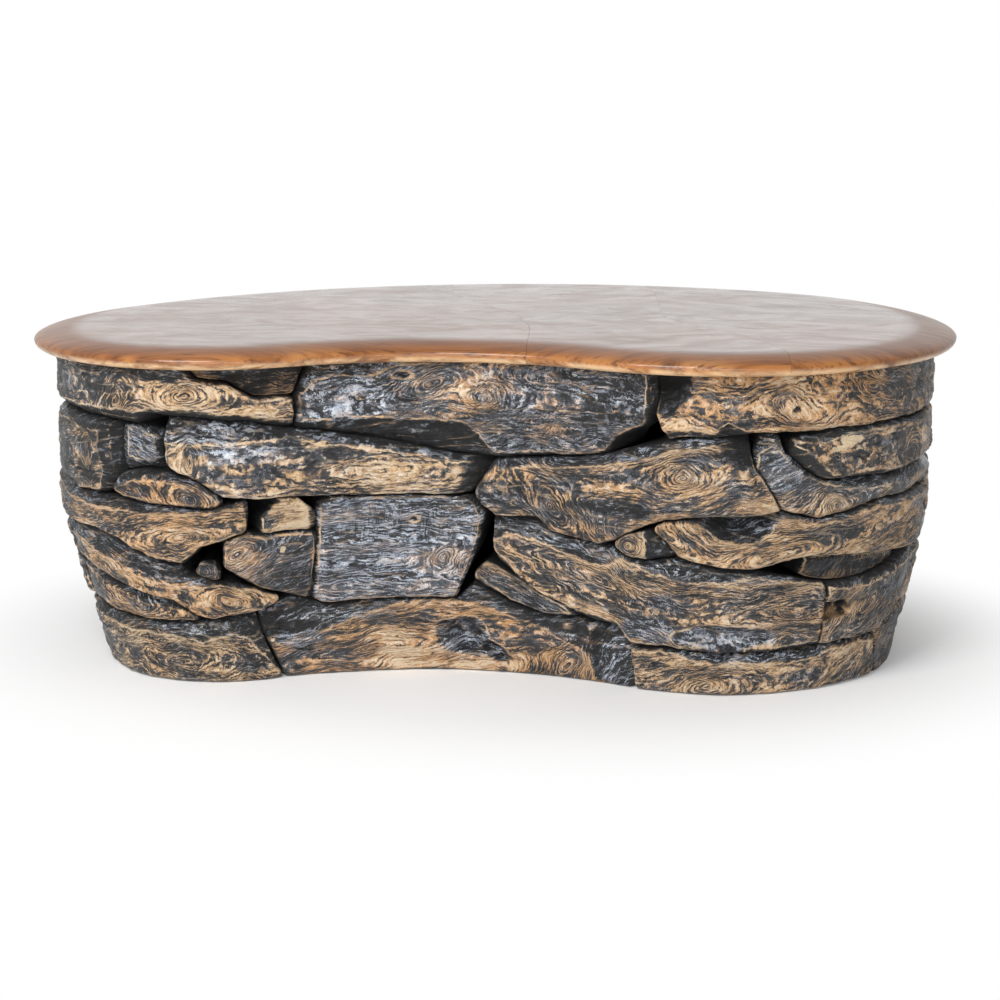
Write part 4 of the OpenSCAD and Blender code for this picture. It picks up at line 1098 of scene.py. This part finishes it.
def edge_levels():
    """The rolled edge from the underside up: inset of the lower roll, height, and share of the upper one."""
    lower = [(LOWER_ROLL_W * (1 - math.sin(a)), LOWER_ROLL_H * (1 - math.cos(a)), 0.0)
             for a in np.radians(np.arange(0, 91, LOWER_ROLL_TURN))]
    upper = [(0.0, LOWER_ROLL_H + UPPER_ROLL_H * math.sin(a), 1 - math.cos(a))
             for a in np.radians(np.arange(UPPER_ROLL_TURN, 91, UPPER_ROLL_TURN))]
    return lower + upper


def edge_points(s, level):
    """Points of the rolled edge at the lengths s of the rim."""
    inset, height, share = level
    rim, normal = outline.at(np.atleast_1d(s))
    widening = np.abs(normal[:, 0]) ** ROLL_WIDENING
    width = inset + share * (FRONT_ROLL_W + (TIP_ROLL_W - FRONT_ROLL_W) * widening)
    flat = rim - normal * width[:, None]
    return np.column_stack([flat, np.full(len(flat), BASE_TOP + height)])


def seam_x(seam, y):
    """The seam's x at y: a smooth curve through its points."""
    ys = np.array([p[1] for p in seam], float)
    xs = np.array([p[0] for p in seam], float)
    lean = np.gradient(xs, ys)
    k = np.clip(np.searchsorted(ys, y) - 1, 0, len(ys) - 2)
    h = ys[k + 1] - ys[k]
    t = np.clip((y - ys[k]) / h, 0, 1)
    return ((1 + 2 * t) * (1 - t) ** 2 * xs[k] + t * (1 - t) ** 2 * h * lean[k]
            + t * t * (3 - 2 * t) * xs[k + 1] + t * t * (t - 1) * h * lean[k + 1])


def crossing(seam, side, level, low, high):
    """Length along the rim at which the rolled edge meets the seam, between low and high."""
    def beside(s):
        p = edge_points(s, level)[0]
        return p[0] - seam_x(seam, p[1]) - side
    start = beside(low)
    for _ in range(HALVINGS):
        middle = (low + high) / 2
        if beside(middle) * start > 0:
            low = middle
        else:
            high = middle
    return (low + high) / 2


def seam_run(seam, side, front, rear, count):
    """Points along the seam between its two ends on the rim, without them."""
    y = np.linspace(front[1], rear[1], count + 2)[1:-1]
    side = side * np.interp(y, SEAM_CHANGE, (1, REAR_SEAM))
    return np.column_stack([seam_x(seam, y) + side, y, np.full(count, front[2])])


def seam_ends(seam, side, level):
    """Lengths along the rim at which one side of a seam meets the rolled edge, in front and behind."""
    front = crossing(seam, side, level, outline.arcs[1][0], outline.arcs[4][0])
    rear = crossing(seam, side, level, outline.arcs[5][0], outline.length)
    return front, rear


def board_runs(left_seam, right_seam, level):
    """Stretches of the rim that bound a board at a level: one round a tip, or one in front and one behind."""
    left = left_seam and seam_ends(left_seam, SEAM_GAP / 2, level)
    right = right_seam and seam_ends(right_seam, -SEAM_GAP / 2, level)
    if left and right:
        return [(left[0], right[0]), (right[1], left[1])]
    if right:
        return [(right[1] - outline.length, right[0])]
    return [left]


def board_ring(left_seam, right_seam, level, counts, seam_count):
    """A board's closed outline at a level, with the same number of points at every level."""
    runs = board_runs(left_seam, right_seam, level)
    edges = [edge_points(np.linspace(a, b, n), level) for (a, b), n in zip(runs, counts)]
    front, rear = edges[0], edges[-1]
    ring = [front]
    if right_seam:
        ring.append(seam_run(right_seam, -SEAM_GAP / 2, front[-1], rear[0], seam_count))
    ring += edges[1:]
    if left_seam:
        ring.append(seam_run(left_seam, SEAM_GAP / 2, front[0], rear[-1], seam_count)[::-1])
    return np.vstack(ring)


def board_mesh(name, left_seam, right_seam):
    """One board of the top, between a seam on its left and one on its right, or none at a tip."""
    levels = edge_levels()
    counts = [int((b - a) / RIM_STEP) for a, b in board_runs(left_seam, right_seam, levels[0])]
    seam_count = int((cad_box[1][1] - cad_box[0][1]) / MM / SEAM_STEP)
    rings = [board_ring(left_seam, right_seam, level, counts, seam_count) for level in levels]
    points = np.vstack(rings) * MM
    n = len(rings[0])
    faces = [[i * n + k, i * n + (k + 1) % n, (i + 1) * n + (k + 1) % n, (i + 1) * n + k]
             for i in range(len(rings) - 1) for k in range(n)]
    faces.append(list(range(n - 1, -1, -1)))
    faces.append([(len(rings) - 1) * n + k for k in range(n)])
    mesh = bpy.data.meshes.new(name)
    mesh.from_pydata([tuple(p) for p in points], [], faces)
    mesh.shade_smooth()
    mesh.set_sharp_from_angle(angle=math.radians(SHARP_FROM))
    mesh.update()
    obj = bpy.data.objects.new(name, mesh)
    bpy.context.scene.collection.objects.link(obj)
    return obj


def dress(obj, material):
    """Gives the object one material in place of what it has."""
    obj.data.materials.clear()
    obj.data.materials.append(material)


def add_block(node, material):
    """The worn block that stands for a plain block of the base."""
    piece = shape_block(welded_copy(node, node + "_worn"), node)
    piece.data.shade_smooth()
    dress(piece, material)
    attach(piece, "root")
    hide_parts(node)


def add_boards():
    """The three boards of the top, each with the grain in its own direction."""
    left_oiled = oiled_wood("oiled_top_left", 4, (0.3, 0.1, 0))
    centre_oiled = oiled_wood("oiled_top_centre", -9, (1.7, 0.5, 0), EDGE_KNOT)
    right_oiled = oiled_wood("oiled_top_right", 14, (3.1, 0.9, 0))
    for node, left_seam, right_seam, material in (("left_board", None, LEFT_SEAM, left_oiled),
                                                  ("centre_board", LEFT_SEAM, RIGHT_SEAM, centre_oiled),
                                                  ("right_board", RIGHT_SEAM, None, right_oiled)):
        piece = board_mesh(node + "_polished", left_seam, right_seam)
        dress(piece, material)
        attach(piece, "root")
        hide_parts(node)


def add_base():
    """Every charred block of the base, in the finish that the record gives it."""
    finishes = {slot: charred_wood(slot) for slot in
                ("charred_dark", "charred_bluish", "charred_brown", "charred_golden")}
    for part in frame["record"]["subparts"]:
        if part["material_slot"] in finishes:
            add_block(part["node"], finishes[part["material_slot"]])


def dress_hidden_parts():
    """Finishes of the parts inside, which keep their shape."""
    pale = planed_wood("batten_wood", rgb(0.62, 0.42, 0.24), rgb(0.44, 0.27, 0.13), 3.0)
    dowel = planed_wood("dowel_wood", rgb(0.52, 0.32, 0.16), rgb(0.36, 0.20, 0.09), 6.0)
    steel = screw_steel("screw_steel")
    for node, material in (("front_batten", pale), ("rear_batten", pale), ("bed_dowels", dowel),
                           ("batten_screws", steel)):
        dress(frame["nodes"][node], material)


# Side of the floor, and reach of its lit and shaded part round the table, in metres
FLOOR_SIZE = 30.0
SHADOW_HALF_X = 0.84
SHADOW_HALF_Y = 0.72

# Strength of the surroundings as a light, and as a reflection from the front
DIFFUSE_WORLD = 0.31
DIM_FRONT = 0.18


def add_floor():
    """A plain white floor with the table's soft shadow. Away from the table it is white to the eye."""
    mesh = bpy.data.meshes.new("floor")
    h = FLOOR_SIZE / 2
    mesh.from_pydata([(-h, -h, 0), (h, -h, 0), (h, h, 0), (-h, h, 0)], [], [(0, 1, 2, 3)])
    floor = bpy.data.objects.new("floor", mesh)
    bpy.context.scene.collection.objects.link(floor)
    m = Material("floor_white")
    m.set(Base_Color=rgb(0.90, 0.90, 0.90), Roughness=0.9, Specular_IOR_Level=0.1)
    away = m.root.node("ShaderNodeVectorMath", {"operation": "LENGTH"},
                       {0: m.scaled(m.place(), (1 / SHADOW_HALF_X, 1 / SHADOW_HALF_Y, 1.0))}, output="Value")
    eye = m.root.node("ShaderNodeLightPath", output="Is Camera Ray")
    mirrored = m.root.node("ShaderNodeLightPath", output="Is Glossy Ray")
    white = m.root.node("ShaderNodeEmission", inputs={"Color": rgb(1, 1, 1), "Strength": 1.0})
    share = away.step(0.5, 1.0) * (eye + mirrored).clamped()
    shown = m.root.node("ShaderNodeMixShader", inputs={
        0: share, 1: Socket(m.tree, m.shader.outputs[0]), 2: white})
    m.tree.links.new(shown.socket, m.tree.nodes["Material Output"].inputs["Surface"])
    dress(floor, m.data)


def add_world():
    """White surroundings: full white to the eye, dimmer as a light, and dim in reflections from the front."""
    world = bpy.data.worlds.new("studio")
    bpy.context.scene.world = world
    world.use_nodes = True
    tree = world.node_tree
    path = Socket(tree, None)
    eye = path.node("ShaderNodeLightPath", output="Is Camera Ray")
    mirrored = path.node("ShaderNodeLightPath", output="Is Glossy Ray")
    toward = path.node("ShaderNodeTexCoord", output="Generated")
    rear = path.node("ShaderNodeSeparateXYZ", inputs={"Vector": toward}, output="Y").step(-0.4, 0.2)
    seen = (eye + mirrored * (DIM_FRONT + (1.0 - DIM_FRONT) * rear)).clamped()
    strength = DIFFUSE_WORLD * (1.0 - (eye + mirrored).clamped()) + seen
    background = tree.nodes["Background"]
    background.inputs["Color"].default_value = rgb(1, 1, 1)
    tree.links.new(strength.socket, background.inputs["Strength"])


def add_light(name, at, target, size, power):
    """A rectangular softbox that looks at a target."""
    lamp = bpy.data.lights.new(name, "AREA")
    lamp.shape = "RECTANGLE"
    lamp.size, lamp.size_y = size
    lamp.energy = power
    obj = bpy.data.objects.new(name, lamp)
    obj.location = at
    direction = Vector(target) - Vector(at)
    obj.rotation_euler = direction.to_track_quat("-Z", "Y").to_euler()
    bpy.context.scene.collection.objects.link(obj)


def add_lights():
    add_light("front_softbox", at=(-0.3, -3.0, 0.3), target=(0, 0, 0.35), size=(2.4, 0.3), power=46)
    add_light("high_softbox", at=(-1.0, -2.2, 2.0), target=(0, 0, 0.2), size=(1.4, 0.9), power=76)


def add_camera():
    lens = bpy.data.cameras.new("camera")
    lens.lens = CAMERA_LENS
    lens.sensor_fit = "HORIZONTAL"
    camera = bpy.data.objects.new("camera", lens)
    camera.location = CAMERA_AT
    camera.rotation_euler = (math.radians(90 - CAMERA_DOWN), 0, 0)
    bpy.context.scene.collection.objects.link(camera)
    bpy.context.scene.camera = camera


add_boards()
add_base()
dress_hidden_parts()
add_floor()
add_world()
add_lights()
add_camera()
bpy.context.scene.view_settings.view_transform = "Standard"
